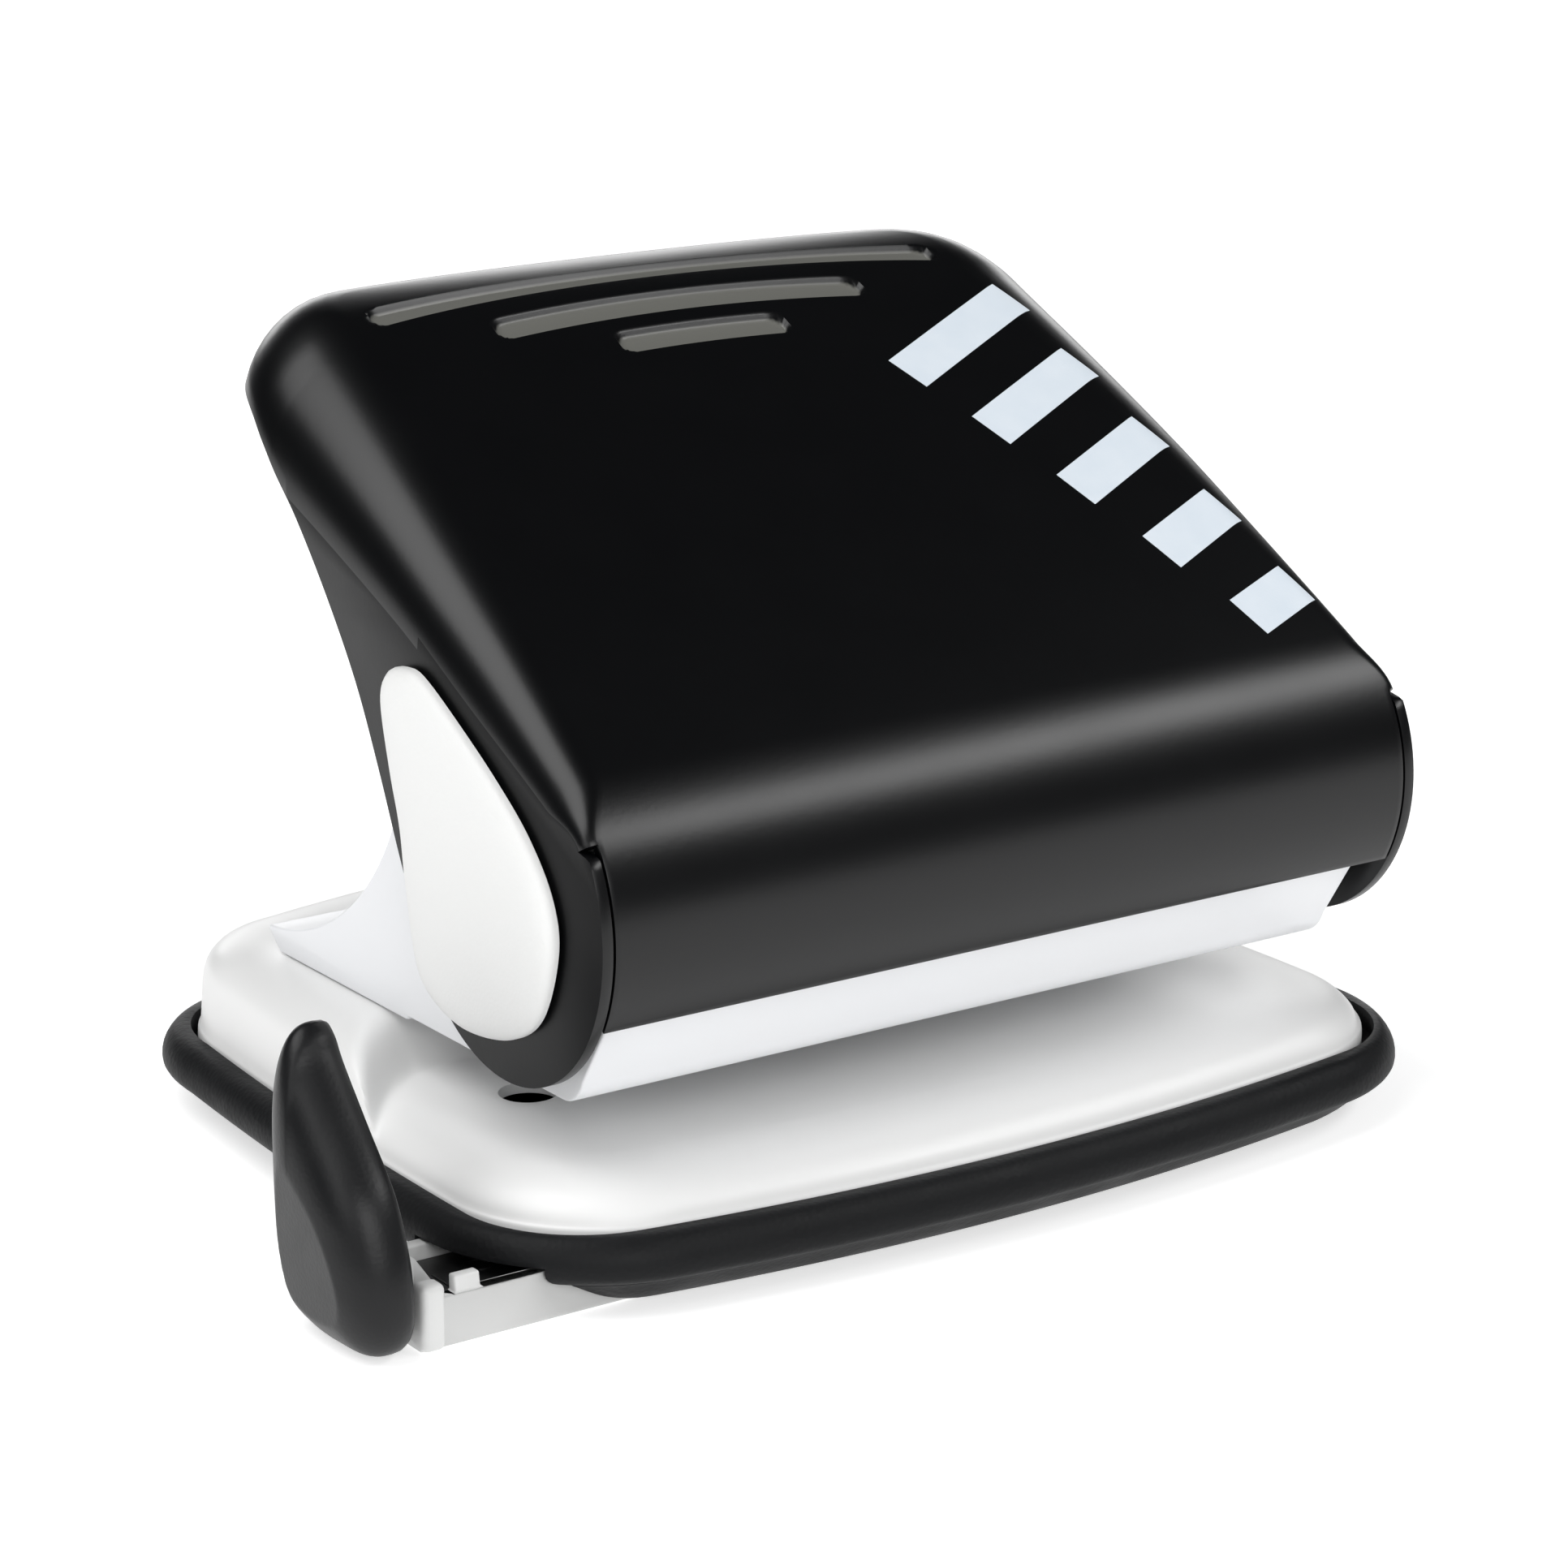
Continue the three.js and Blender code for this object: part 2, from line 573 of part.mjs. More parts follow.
function handleShell() {
  const pressed = handleBlock(0, 10).subtract(handleBlock(SHEET, 5));
  const cover = pressed.intersect(acrossX(sideOutline(), -60, 60));
  const band = (from, to, steps, x0, x1) => acrossX([
    ...arc(PIVOT_Y, PIVOT_Z, NOSE_R, from, to, steps),
    ...arc(PIVOT_Y, PIVOT_Z, NOSE_R - SHEET, to, from, steps),
  ], x0, x1);
  const nose = band(122, SKIRT_DEG, 14, -SLIT_X, SLIT_X);
  const neck = band(122, SLIT_TOP_DEG, 5, -NECK_X, NECK_X);
  const discs = [-HANDLE_X, HANDLE_X - SHEET].map((x) => acrossX([
    ...arc(PIVOT_Y, PIVOT_Z, NOSE_R - 1, 95, SLIT_TOP_DEG, 6),
    ...arc(PIVOT_Y, PIVOT_Z, NOSE_R, SLIT_TOP_DEG + 4, 330, 22),
  ], x, x + SHEET));
  const axleHole = crosswise(AXLE_R + 0.15, -60, 60, PIVOT_Y, PIVOT_Z);
  const grooves = GROOVES.map(gripGroove);
  return cutFrom(joined(cover, nose, neck, ...discs), axleHole, ...grooves);
}

const GROOVES = [
  { half: 36.2, y: 68, width: 2.8 },
  { half: 23.4, y: 61.9, width: 2.8 },
  { half: 10.6, y: 56.7, width: 2.8 },
];
const GROOVE_DEPTH = 0.6;

// A shallow arched groove pressed into the grip, as a cutter that follows the panel.
function gripGroove({ half, y, width }) {
  const steps = 10;
  const rows = Array.from({ length: steps + 1 }, (_, i) => {
    const x = half * (2 * i / steps - 1);
    return { x, y: y - HANDLE_BOW * x * x, w: i === 0 || i === steps ? width * 0.5 : width };
  });
  const loop = (depth, spread) => {
    const near = rows.map((r) => [r.x, r.y - r.w / 2 - spread]);
    const far = [...rows].reverse().map((r) => [r.x, r.y + r.w / 2 + spread]);
    return [...near, ...far].map(([x, v]) => new THREE.Vector3(x, v, panelZ(v) - depth));
  };
  const skin = new Skin();
  const low = loop(GROOVE_DEPTH, -0.3);
  const high = loop(-1, 0.6);
  const count = low.length;
  for (let i = 0; i < count; i += 1) {
    const next = (i + 1) % count;
    skin.quad(low[i], low[next], high[next], high[i]);
  }
  for (let i = 0; i < steps; i += 1) {
    const mate = count - 1 - i;
    skin.quad(low[i], low[mate], low[mate - 1], low[i + 1]);
    skin.quad(high[i], high[i + 1], high[mate - 1], high[mate]);
  }
  return skin.solid();
}

// Bent bracket welded under the panel. Its foot bears on the heads of the pins.
function pressPlate() {
  const tilt = 14.5 * DEG;
  const footZ = (y) => PIVOT_Z + (y - PIVOT_Y) * Math.tan(tilt);
  const under = (y) => panelZ(y) - SHEET * 1.16 - 0.4;
  const outline = vectors([
    [23.4, footZ(23.4)], [35.5, footZ(35.5)], [35.1, footZ(35.1) + 1.5], [24.9, footZ(24.9) + 1.5],
    [24.9, under(24.9) - 1.6], [38, under(38) - 1.8], [38, under(38) - 0.2], [30, under(30) - 0.1],
    [23.4, under(23.4)],
  ]);
  return acrossX(outline, -44.5, 44.5);
}

const INLAY_OUTLINE = [
  [31.3, 58.9], [34.6, 58], [36.1, 54.7], [34.6, 47.8], [32.9, 42.3], [32, 36.6], [30, 28.4],
  [26.2, 25.3], [20.5, 24.2], [12.8, 25.5], [7.3, 29.2], [4.4, 36.5], [5.4, 41.8], [9.6, 46.9],
  [15.5, 51.2], [22.6, 55.4], [28.4, 58.4],
];

function closedSpline(pairs, count) {
  const curve = new THREE.CatmullRomCurve3(
    pairs.map(([y, z]) => new THREE.Vector3(0, y, z)), true, 'centripetal');
  return curve.getSpacedPoints(count).slice(0, count).map((p) => new THREE.Vector2(p.y, p.z));
}

// Levels are [distance out from the first face, size], stacked along X on one side. The
// size scales the outline about its middle.
function sidePad(loop, levels, x0, side) {
  const middle = new THREE.Box2().setFromPoints(loop).getCenter(new THREE.Vector2());
  const loops = levels.map(([out, size]) => loop.map((point) => {
    const p = point.clone().sub(middle).multiplyScalar(size).add(middle);
    return new THREE.Vector3(side * (x0 + out), p.x, p.y);
  }));
  const anticlockwise = THREE.ShapeUtils.area(loop) > 0;
  const outwards = (side > 0) === anticlockwise;
  return stacked(outwards ? loops : loops.map((l) => [...l].reverse()));
}

function sideInlay(side) {
  const loop = closedSpline(INLAY_OUTLINE, 36);
  return sidePad(loop, [[0, 0.99], [0.9, 1], [1.5, 0.96], [1.9, 0.86], [2, 0.72]], HANDLE_X + GAP, side);
}

function pivotAxle() {
  return crosswise(AXLE_R, -HANDLE_X + 0.1, HANDLE_X - 0.1, PIVOT_Y, PIVOT_Z);
}

function axleWasher(side) {
  const inner = Math.min(side * (FRAME_X + 0.4), side * (HANDLE_X - SHEET - 0.4));
  const outer = Math.max(side * (FRAME_X + 0.4), side * (HANDLE_X - SHEET - 0.4));
  const disc = crosswise(5, inner, outer, PIVOT_Y, PIVOT_Z);
  return disc.subtract(crosswise(AXLE_R + 0.1, inner - 1, outer + 1, PIVOT_Y, PIVOT_Z));
}

// ---------- paper guide rail ----------

const RAIL_WALL = 1.6;
const RAIL_BOTTOM_Z = 0.1;
const RAIL_FLOOR = 1.3;
const STRIP_TOP_Z = 4;
const NOTCHES = 7;
const NOTCH_PITCH = 12;
const RAIL_TOP_Z = 5.3;

function guideRail() {
  const run = (y0, y1, top) => box(RAIL_OUT_X, RAIL_IN_X, y0, y1, RAIL_BOTTOM_Z, top);
  const front = run(RAIL_FRONT_Y, RAIL_FRONT_Y + RAIL_WALL, RAIL_TOP_Z);
  const back = run(RAIL_BACK_Y - RAIL_WALL, RAIL_BACK_Y, RAIL_TOP_Z);
  const floor = run(RAIL_FRONT_Y, RAIL_BACK_Y, RAIL_BOTTOM_Z + RAIL_FLOOR);
  const block = acrossX(vectors([
    [RAIL_FRONT_Y, RAIL_BOTTOM_Z], [RAIL_BACK_Y, RAIL_BOTTOM_Z], [RAIL_BACK_Y, 6.4], [12, 7.6], [8, 7.6],
    [RAIL_FRONT_Y, 5.8]]), RAIL_OUT_X, RAIL_OUT_X + 2.5);
  const tooth = acrossX(vectors([
    [RAIL_FRONT_Y, RAIL_TOP_Z - 1], [RAIL_FRONT_Y + RAIL_WALL, RAIL_TOP_Z - 1],
    [RAIL_FRONT_Y + RAIL_WALL, 6.9], [RAIL_FRONT_Y + 0.4, 6.9]]), -64.4, -61.6);
  const notches = Array.from({ length: NOTCHES }, (_, i) => {
    const x = RAIL_OUT_X + 14 + NOTCH_PITCH * i;
    return box(x, x + 1.2, RAIL_BACK_Y - 2.2, RAIL_BACK_Y + 1, RAIL_TOP_Z - 0.6, RAIL_TOP_Z + 1);
  });
  return cutFrom(joined(front, back, floor, block, tooth), ...notches);
}

function scaleStrip() {
  return box(RAIL_OUT_X + 2.8, RAIL_IN_X - 0.5, RAIL_FRONT_Y + RAIL_WALL + GAP,
    RAIL_BACK_Y - RAIL_WALL - GAP, RAIL_BOTTOM_Z + RAIL_FLOOR + GAP, STRIP_TOP_Z);
}

const STOP_OUTLINE = [
  [12.8, 31.6], [14.8, 30.7], [16.6, 28], [18.2, 22], [19, 14], [18.6, 6.6], [16.6, 2.2], [12.2, 0.6],
  [7, 0.5], [2.6, 2.2], [0, 6.2], [-0.3, 11.4], [1, 16.6], [5.4, 23.2], [9.8, 28.6], [11.3, 31],
];

function endStop() {
  const loop = closedSpline(STOP_OUTLINE, 36);
  const plate = sidePad(loop, [
    [0, 0.92], [1, 0.99], [2.8, 1], [4.6, 0.98], [6, 0.91], [7, 0.78], [7.5, 0.6],
  ], -RAIL_OUT_X + 1.3, -1);
  const tab = box(RAIL_OUT_X - 3, RAIL_OUT_X - GAP, 4.5, 15.5, 1.6, 6.6);
  return plate.add(tab);
}

// ---------- assembly ----------

const finishes = {
  blackPaint: { color: 0x0b0b0c, roughness: 0.38, metalness: 0 },
  whiteEnamel: { color: 0xe9eaec, roughness: 0.25, metalness: 0 },
  whitePlastic: { color: 0xf0f0ee, roughness: 0.5, metalness: 0 },
  softBlack: { color: 0x1b1c1d, roughness: 0.6, metalness: 0 },
  glossBlack: { color: 0x131315, roughness: 0.35, metalness: 0 },
  steel: { color: 0xa9abad, roughness: 0.35, metalness: 1 },
  springSteel: { color: 0x8d8f92, roughness: 0.3, metalness: 1 },
};

const punch = new THREE.Group();
punch.position.y = -TRAY_CENTRE_Y;

function place(name, solid, finish) {
  const mesh = new THREE.Mesh(toGeometry(solid), new THREE.MeshStandardMaterial(finishes[finish]));
  mesh.name = name;
  punch.add(mesh);
}

place('chip_tray', chipTray(), 'softBlack');
place('detent_leaf', detentLeaf(), 'springSteel');
place('base_plate', basePlate(), 'whiteEnamel');
place('punch_frame', punchFrame(), 'whiteEnamel');
place('pin_guide_bracket', pinGuideBracket(), 'steel');
FRAME_RIVETS.forEach((spot, i) => place(`frame_rivet_${i + 1}`, frameRivet(spot), 'steel'));

place('handle_shell', handleShell(), 'blackPaint');
place('press_plate', pressPlate(), 'steel');
place('pivot_axle', pivotAxle(), 'steel');

for (const [side, name] of [[-1, 'left'], [1, 'right']]) {
  place(`side_inlay_${name}`, sideInlay(side), 'whitePlastic');
  place(`axle_washer_${name}`, axleWasher(side), 'whitePlastic');
  place(`punch_pin_${name}`, punchPin(side), 'steel');
  place(`spring_collar_${name}`, springCollar(side), 'steel');
  place(`return_spring_${name}`, returnSpring(side), 'springSteel');
}

place('guide_rail', guideRail(), 'whitePlastic');
place('scale_strip', scaleStrip(), 'softBlack');
place('end_stop', endStop(), 'glossBlack');

export default punch;
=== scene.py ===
# Looks for the two-hole desk punch. Shapes are drawn in millimetres, with y = 0 near the
# front of the handle, and row() moves them into the row frame in metres.
import math

import bpy
import bmesh
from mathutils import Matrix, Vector


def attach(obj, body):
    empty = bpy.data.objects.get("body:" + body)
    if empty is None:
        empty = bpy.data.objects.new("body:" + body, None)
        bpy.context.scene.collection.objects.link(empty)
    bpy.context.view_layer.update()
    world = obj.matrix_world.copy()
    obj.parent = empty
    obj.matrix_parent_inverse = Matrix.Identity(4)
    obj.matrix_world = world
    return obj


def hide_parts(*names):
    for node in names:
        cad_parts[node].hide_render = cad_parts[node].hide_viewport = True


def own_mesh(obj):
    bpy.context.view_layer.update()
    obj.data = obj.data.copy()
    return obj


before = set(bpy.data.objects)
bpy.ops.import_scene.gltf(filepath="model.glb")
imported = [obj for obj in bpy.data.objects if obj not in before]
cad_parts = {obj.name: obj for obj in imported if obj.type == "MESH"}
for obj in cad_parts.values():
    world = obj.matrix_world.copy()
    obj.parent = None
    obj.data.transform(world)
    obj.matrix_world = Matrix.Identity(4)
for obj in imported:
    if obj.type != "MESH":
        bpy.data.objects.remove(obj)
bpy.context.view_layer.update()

TRAY_CENTRE_Y = 43.0
PIVOT_Y, PIVOT_Z = 15.5, 38.3
NOSE_R = 18.0  # the handle's front, round the pivot
SHEET = 1.2  # gauge of the handle and the base
HANDLE_X = 51.0  # half widths
FRAME_X = 47.5
HOLE_X, PIN_Y = 40.0, 29.5
BED_Z = 12.6
PLATFORM_Z = 18.4
JAW_Z = 19.0  # underside of the punch frame, above the paper
AXLE_R = 2.5
CRISP = 40.0  # edges sharper than this angle stay crisp in the shading
CRISP_TURNED = 35.0  # the same on turned pieces


# ---------- small tools ----------

def row(point):
    x, y, z = point
    return (x * 0.001, (y - TRAY_CENTRE_Y) * 0.001, z * 0.001)


def mix(a, b, t):
    return a + (b - a) * t


def ease(t):
    t = min(max(t, 0.0), 1.0)
    return t * t * (3 - 2 * t)


def cos_d(angle):
    return math.cos(math.radians(angle))


def sin_d(angle):
    return math.sin(math.radians(angle))


def spread(start, end, count):
    """count + 1 evenly spaced numbers from start to end."""
    return [mix(start, end, i / count) for i in range(count + 1)]


def turns(count):
    """count evenly spaced angles round a circle."""
    return spread(0, 360, count)[:-1]


def spline(points, per_span, closed=False):
    """A smooth curve through the points, as a list of points."""
    n = len(points)
    out = []
    for i in range(n if closed else n - 1):
        if closed:
            p = [points[(i + k) % n] for k in (-1, 0, 1, 2)]
        else:
            p = [points[min(max(i + k, 0), n - 1)] for k in (-1, 0, 1, 2)]
        for s in range(per_span):
            t = s / per_span
            out.append(tuple(
                0.5 * (2 * b + (c - a) * t + (2 * a - 5 * b + 4 * c - d) * t * t
                       + (3 * b - a - 3 * c + d) * t ** 3)
                for a, b, c, d in zip(*p)))
    if not closed:
        out.append(tuple(points[-1]))
    return out


def even_loop(points, count):
    """The closed loop again, with count points evenly along it."""
    loop = list(points) + [points[0]]
    at = [0.0]
    for a, b in zip(loop, loop[1:]):
        at.append(at[-1] + math.dist(a, b))
    out, k = [], 0
    for i in range(count):
        want = at[-1] * i / count
        while at[k + 1] < want:
            k += 1
        t = (want - at[k]) / (at[k + 1] - at[k])
        out.append(tuple(mix(a, b, t) for a, b in zip(loop[k], loop[k + 1])))
    return out


def table_value(table, x):
    """Straight-line reading of a sorted table of (x, value)."""
    if x <= table[0][0]:
        return table[0][1]
    for (x0, v0), (x1, v1) in zip(table, table[1:]):
        if x <= x1:
            return mix(v0, v1, (x - x0) / (x1 - x0))
    return table[-1][1]


def arc(y, z, radius, start, end, steps):
    return [(y + radius * cos_d(a), z + radius * sin_d(a)) for a in spread(start, end, steps)]


def linked(data, name="shape"):
    """A new object in the scene that holds the data."""
    obj = bpy.data.objects.new(name, data)
    bpy.context.scene.collection.objects.link(obj)
    return obj


class Skin:
    """Faces gathered from points; equal points become one vertex."""

    def __init__(self):
        self.points, self.faces, self.known = [], [], {}

    def at(self, point):
        key = tuple(round(c, 4) for c in point)
        if key not in self.known:
            self.known[key] = len(self.points)
            self.points.append(point)
        return self.known[key]

    def face(self, *points):
        ids = []
        for point in points:
            i = self.at(point)
            if i not in ids:
                ids.append(i)
        if len(ids) > 2:
            self.faces.append(ids)

    def rows(self, rows, closed=False):
        for low, high in zip(rows, rows[1:]):
            count = len(low)
            for i in range(count if closed else count - 1):
                j = (i + 1) % count
                self.face(low[i], low[j], high[j], high[i])

    def piece(self, sharp=CRISP, upwards=False):
        """The faces as an object. upwards turns the normals of an open skin so that its
        highest level face looks up."""
        mesh = bpy.data.meshes.new("shape")
        mesh.from_pydata([row(p) for p in self.points], [], self.faces)
        work = bmesh.new()
        work.from_mesh(mesh)
        bmesh.ops.recalc_face_normals(work, faces=work.faces)
        if upwards:
            highest = max(work.faces, key=lambda f: f.calc_center_median().z
                          if abs(f.normal.z) > 0.5 else -1)
            if highest.normal.z < 0:
                bmesh.ops.reverse_faces(work, faces=work.faces)
        work.to_mesh(mesh)
        work.free()
        return soften(linked(mesh), sharp)


def soften(obj, sharp):
    """Smooth shading, with edges sharper than the angle kept crisp."""
    obj.data.shade_smooth()
    obj.data.set_sharp_from_angle(angle=math.radians(sharp))
    return obj


def settle(obj, sharp=CRISP):
    """Applies the object's modifiers."""
    bpy.context.view_layer.update()
    ready = obj.evaluated_get(bpy.context.evaluated_depsgraph_get())
    mesh = bpy.data.meshes.new_from_object(ready)
    obj.modifiers.clear()
    obj.data = mesh
    return soften(obj, sharp)


def thicken(obj, millimetres):
    """Gives an open skin a thickness, inwards."""
    mod = obj.modifiers.new("sheet", "SOLIDIFY")
    mod.thickness = millimetres * 0.001
    mod.offset = -1.0
    mod.use_even_offset = True
    return settle(obj)


def bevel(obj, millimetres, angle=45.0, segments=2, sharp=CRISP):
    """Rounds the edges that turn by more than the angle."""
    mod = obj.modifiers.new("bevel", "BEVEL")
    mod.width = millimetres * 0.001
    mod.segments = segments
    mod.limit_method = "ANGLE"
    mod.angle_limit = math.radians(angle)
    mod.use_clamp_overlap = True
    return settle(obj, sharp)


def carve(obj, *tools, mode="DIFFERENCE"):
    """Cuts the tools out of the object, or unites them with it, and uses them up."""
    for tool in tools:
        mod = obj.modifiers.new("carve", "BOOLEAN")
        mod.operation = mode
        mod.solver = "EXACT"
        mod.object = tool
        settle(obj)
        bpy.data.objects.remove(tool)
    return obj


def stacked(loops, sharp=CRISP):
    """A closed shape through the loops, with a face over each end."""
    skin = Skin()
    skin.rows(loops, closed=True)
    skin.face(*loops[0])
    skin.face(*loops[-1])
    return skin.piece(sharp)


def block(x0, x1, y0, y1, z0, z1):
    low = [(x0, y0, z0), (x1, y0, z0), (x1, y1, z0), (x0, y1, z0)]
    return stacked([low, [(x, y, z1) for x, y, _ in low]])


def across(outline, x0, x1):
    """A closed (y, z) outline run along x."""
    return stacked([[(x, y, z) for y, z in outline] for x in (x0, x1)])


def lathe(profile, x, y, sides=48):
    """A closed turning about a vertical axis; the profile runs from axis to axis, or is a ring."""
    ring = profile[0][0] > 0
    line = profile + [profile[0]] if ring else profile
    skin = Skin()
    skin.rows([[(x + r * cos_d(a), y + r * sin_d(a), z) for a in turns(sides)]
               for r, z in line], closed=True)
    return skin.piece(CRISP_TURNED)


def rod(radius, x0, x1, y, z, edge=0.3, sides=48):
    """A round bar along x with chamfered ends."""
    stops = [(x0, radius - edge), (x0 + edge, radius), (x1 - edge, radius), (x1, radius - edge)]
    loops = [[(x, y + r * cos_d(a), z + r * sin_d(a)) for a in turns(sides)]
             for x, r in stops]
    return stacked(loops, CRISP_TURNED)


def join(*objs):
    """Several closed shapes as one object."""
    with bpy.context.temp_override(active_object=objs[0], selected_editable_objects=list(objs)):
        bpy.ops.object.join()
    return objs[0]


def dress(obj, name, material, slot, body, *nodes):
    """Makes the object a finished piece that rides the body and stands in for the nodes."""
    obj.name = name
    obj.data.name = name
    obj.data.materials.clear()
    obj.data.materials.append(material)
    for face in obj.data.polygons:
        face.material_index = 0
    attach(obj, body)
    if nodes:
        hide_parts(*nodes)
    return obj


# ---------- materials ----------

def finish(name, colour, other, roughness, metallic=0.0, specular=0.5, cloud=60.0, swing=0.05,
           grain=900.0, depth=0.00002, pebbled=False, brushed=None):
    """A finish with slow changes of tone and gloss, and a fine relief over them.

    colour and other are the two tones; cloud and grain are the scales of the two noises, per
    metre; swing is how far the roughness goes either way; depth is the relief in metres;
    pebbled makes the relief of rounded cells; brushed stretches it along an axis."""
    mat = bpy.data.materials.new(name)
    mat.use_nodes = True
    tree = mat.node_tree
    shader = tree.nodes["Principled BSDF"]
    link = tree.links.new
    place = tree.nodes.new("ShaderNodeTexCoord").outputs["Object"]

    slow = tree.nodes.new("ShaderNodeTexNoise")
    slow.inputs["Scale"].default_value = cloud
    slow.inputs["Detail"].default_value = 5.0
    link(place, slow.inputs["Vector"])
    tone = tree.nodes.new("ShaderNodeMix")
    tone.data_type = "RGBA"
    tone.inputs[6].default_value = (*colour, 1)
    tone.inputs[7].default_value = (*other, 1)
    link(slow.outputs["Fac"], tone.inputs[0])
    link(tone.outputs[2], shader.inputs["Base Color"])

    fine = tree.nodes.new("ShaderNodeTexVoronoi" if pebbled else "ShaderNodeTexNoise")
    fine.inputs["Scale"].default_value = grain
    if not pebbled:
        fine.inputs["Detail"].default_value = 3.0
    source = place
    if brushed:
        stretch = tree.nodes.new("ShaderNodeMapping")
        stretch.inputs["Scale"].default_value = brushed
        link(place, stretch.inputs["Vector"])
        source = stretch.outputs["Vector"]
    link(source, fine.inputs["Vector"])
    relief = tree.nodes.new("ShaderNodeBump")
    relief.inputs["Strength"].default_value = 1.0
    relief.inputs["Distance"].default_value = depth
    link(fine.outputs["Distance" if pebbled else "Fac"], relief.inputs["Height"])
    link(relief.outputs["Normal"], shader.inputs["Normal"])

    gloss = tree.nodes.new("ShaderNodeMapRange")
    gloss.inputs["From Min"].default_value = 0.3
    gloss.inputs["From Max"].default_value = 0.7
    gloss.inputs["To Min"].default_value = roughness - swing
    gloss.inputs["To Max"].default_value = roughness + swing
    link(slow.outputs["Fac"], gloss.inputs["Value"])
    link(gloss.outputs["Result"], shader.inputs["Roughness"])

    shader.inputs["Metallic"].default_value = metallic
    shader.inputs["Specular IOR Level"].default_value = specular
    return mat


BLACK_PAINT = finish("satin_black_paint", (0.0008, 0.0009, 0.0013), (0.0014, 0.0015, 0.0020),
                     0.31, cloud=90.0, swing=0.006, grain=1500.0, depth=0.000006, specular=0.42)
SIDE_PAINT = finish("side_black_paint", (0.0008, 0.0009, 0.0013), (0.0014, 0.0015, 0.0020),
                    0.40, cloud=90.0, swing=0.02, grain=1500.0, depth=0.000006, specular=0.18)
WHITE_ENAMEL = finish("white_enamel", (0.875, 0.875, 0.868), (0.895, 0.895, 0.89),
                      0.36, cloud=40.0, swing=0.04, grain=420.0, depth=0.000012, specular=0.4)
FRAME_ENAMEL = finish("frame_enamel", (0.865, 0.875, 0.895), (0.885, 0.893, 0.91),
                      0.32, cloud=45.0, swing=0.04, grain=430.0, depth=0.00001, specular=0.4)
INLAY_WHITE = finish("fine_grained_white", (0.87, 0.875, 0.865), (0.90, 0.90, 0.89),
                     0.55, cloud=50.0, grain=2600.0, depth=0.00002, pebbled=True)
RAIL_WHITE = finish("moulded_white", (0.70, 0.705, 0.70), (0.73, 0.73, 0.72),
                    0.38, cloud=70.0, grain=1600.0, depth=0.00001)
TRAY_BLACK = finish("soft_black", (0.006, 0.0063, 0.007), (0.010, 0.0104, 0.0112),
                    0.52, cloud=130.0, swing=0.07, grain=1700.0, depth=0.00003, pebbled=True,
                    specular=0.16)
STOP_BLACK = finish("semigloss_black", (0.0045, 0.0047, 0.0055), (0.0065, 0.0067, 0.0075),
                    0.40, cloud=110.0, swing=0.04, grain=2200.0, depth=0.00001, pebbled=True,
                    specular=0.34)
STRIP_BLACK = finish("strip_black", (0.003, 0.003, 0.0033), (0.006, 0.006, 0.0063),
                     0.45, cloud=150.0, grain=2000.0, depth=0.00001)
PRINT_WHITE = finish("screen_print", (0.70, 0.78, 0.86), (0.78, 0.84, 0.90),
                     0.48, cloud=260.0, swing=0.05, grain=3000.0, depth=0.000012)
STEEL = finish("brushed_steel", (0.56, 0.56, 0.55), (0.66, 0.66, 0.65), 0.34, metallic=1.0,
               cloud=90.0, grain=700.0, depth=0.000008, brushed=(0.05, 1.0, 1.0))
SPRING_STEEL = finish("spring_steel", (0.45, 0.45, 0.46), (0.58, 0.58, 0.58), 0.26, metallic=1.0,
                      cloud=200.0, grain=900.0, depth=0.000006)


def paint_groove_sheen(mat, colour):
    """Mixes a tone into the finish where the mesh attribute "groove" is high. On the black paint
    this is painted light: a lighter grey sheen that stands for the light the groove bottoms catch.
    """
    tree = mat.node_tree
    base = tree.nodes["Principled BSDF"].inputs["Base Color"]
    below = base.links[0].from_socket
    sheen_mask = tree.nodes.new("ShaderNodeAttribute")
    sheen_mask.attribute_name = "groove"
    sharpen = tree.nodes.new("ShaderNodeMapRange")
    sharpen.interpolation_type = "SMOOTHSTEP"
    sharpen.inputs["From Min"].default_value = 0.55
    sharpen.inputs["From Max"].default_value = 0.98
    tree.links.new(sheen_mask.outputs["Fac"], sharpen.inputs["Value"])
    blend = tree.nodes.new("ShaderNodeMix")
    blend.data_type = "RGBA"
    blend.inputs[7].default_value = (*colour, 1)
    tree.links.new(sharpen.outputs["Result"], blend.inputs[0])
    tree.links.new(below, blend.inputs[6])
    tree.links.new(blend.outputs[2], base)


# painted sheen: the groove bottoms get a light olive grey for the light they catch, not a colour
# of the paint
paint_groove_sheen(BLACK_PAINT, (0.150, 0.150, 0.136))


# ---------- handle ----------

# Angles are round the pivot, from the back. Up the front come the skirt's end, the nose
# between its two slits, the neck, and the panel.
SKIRT_END, SLIT_TOP, NECK_TOP = 209.6, 147.0, 123.0
PANEL_Y0 = PIVOT_Y + NOSE_R * cos_d(NECK_TOP)
PANEL_Z0 = PIVOT_Z + NOSE_R * sin_d(NECK_TOP)
SLOPE0, SLOPE1 = 33.0, 27.0  # of the panel at its front and at the curl
CURL_Y, CURL_R = 62.0, 26.0  # where the panel starts to curl over, and how tightly
BACK_Y, BOW = 83.0, 0.0025  # the back edge is y = BACK_Y - BOW * x * x
CORNER = 19.0
CORNER_X = HANDLE_X - CORNER
SLIT_X = 49.5
SLIT_BEND, FRONT_BEND, SIDE_BEND, BACK_BEND = 1.5, 4.4, 12.6, 8.0  # bend radii
COLUMNS = 160
GROOVES = [(36.2, 68.0), (23.4, 61.9), (10.6, 56.7)]  # half length, y at the middle
GROOVE_DEPTH = 0.75
GROOVE_FLAT, GROOVE_WALL = 1.2, 0.52  # half width of the flat bottom, and of each wall
GROOVE_EDGE = GROOVE_FLAT + GROOVE_WALL


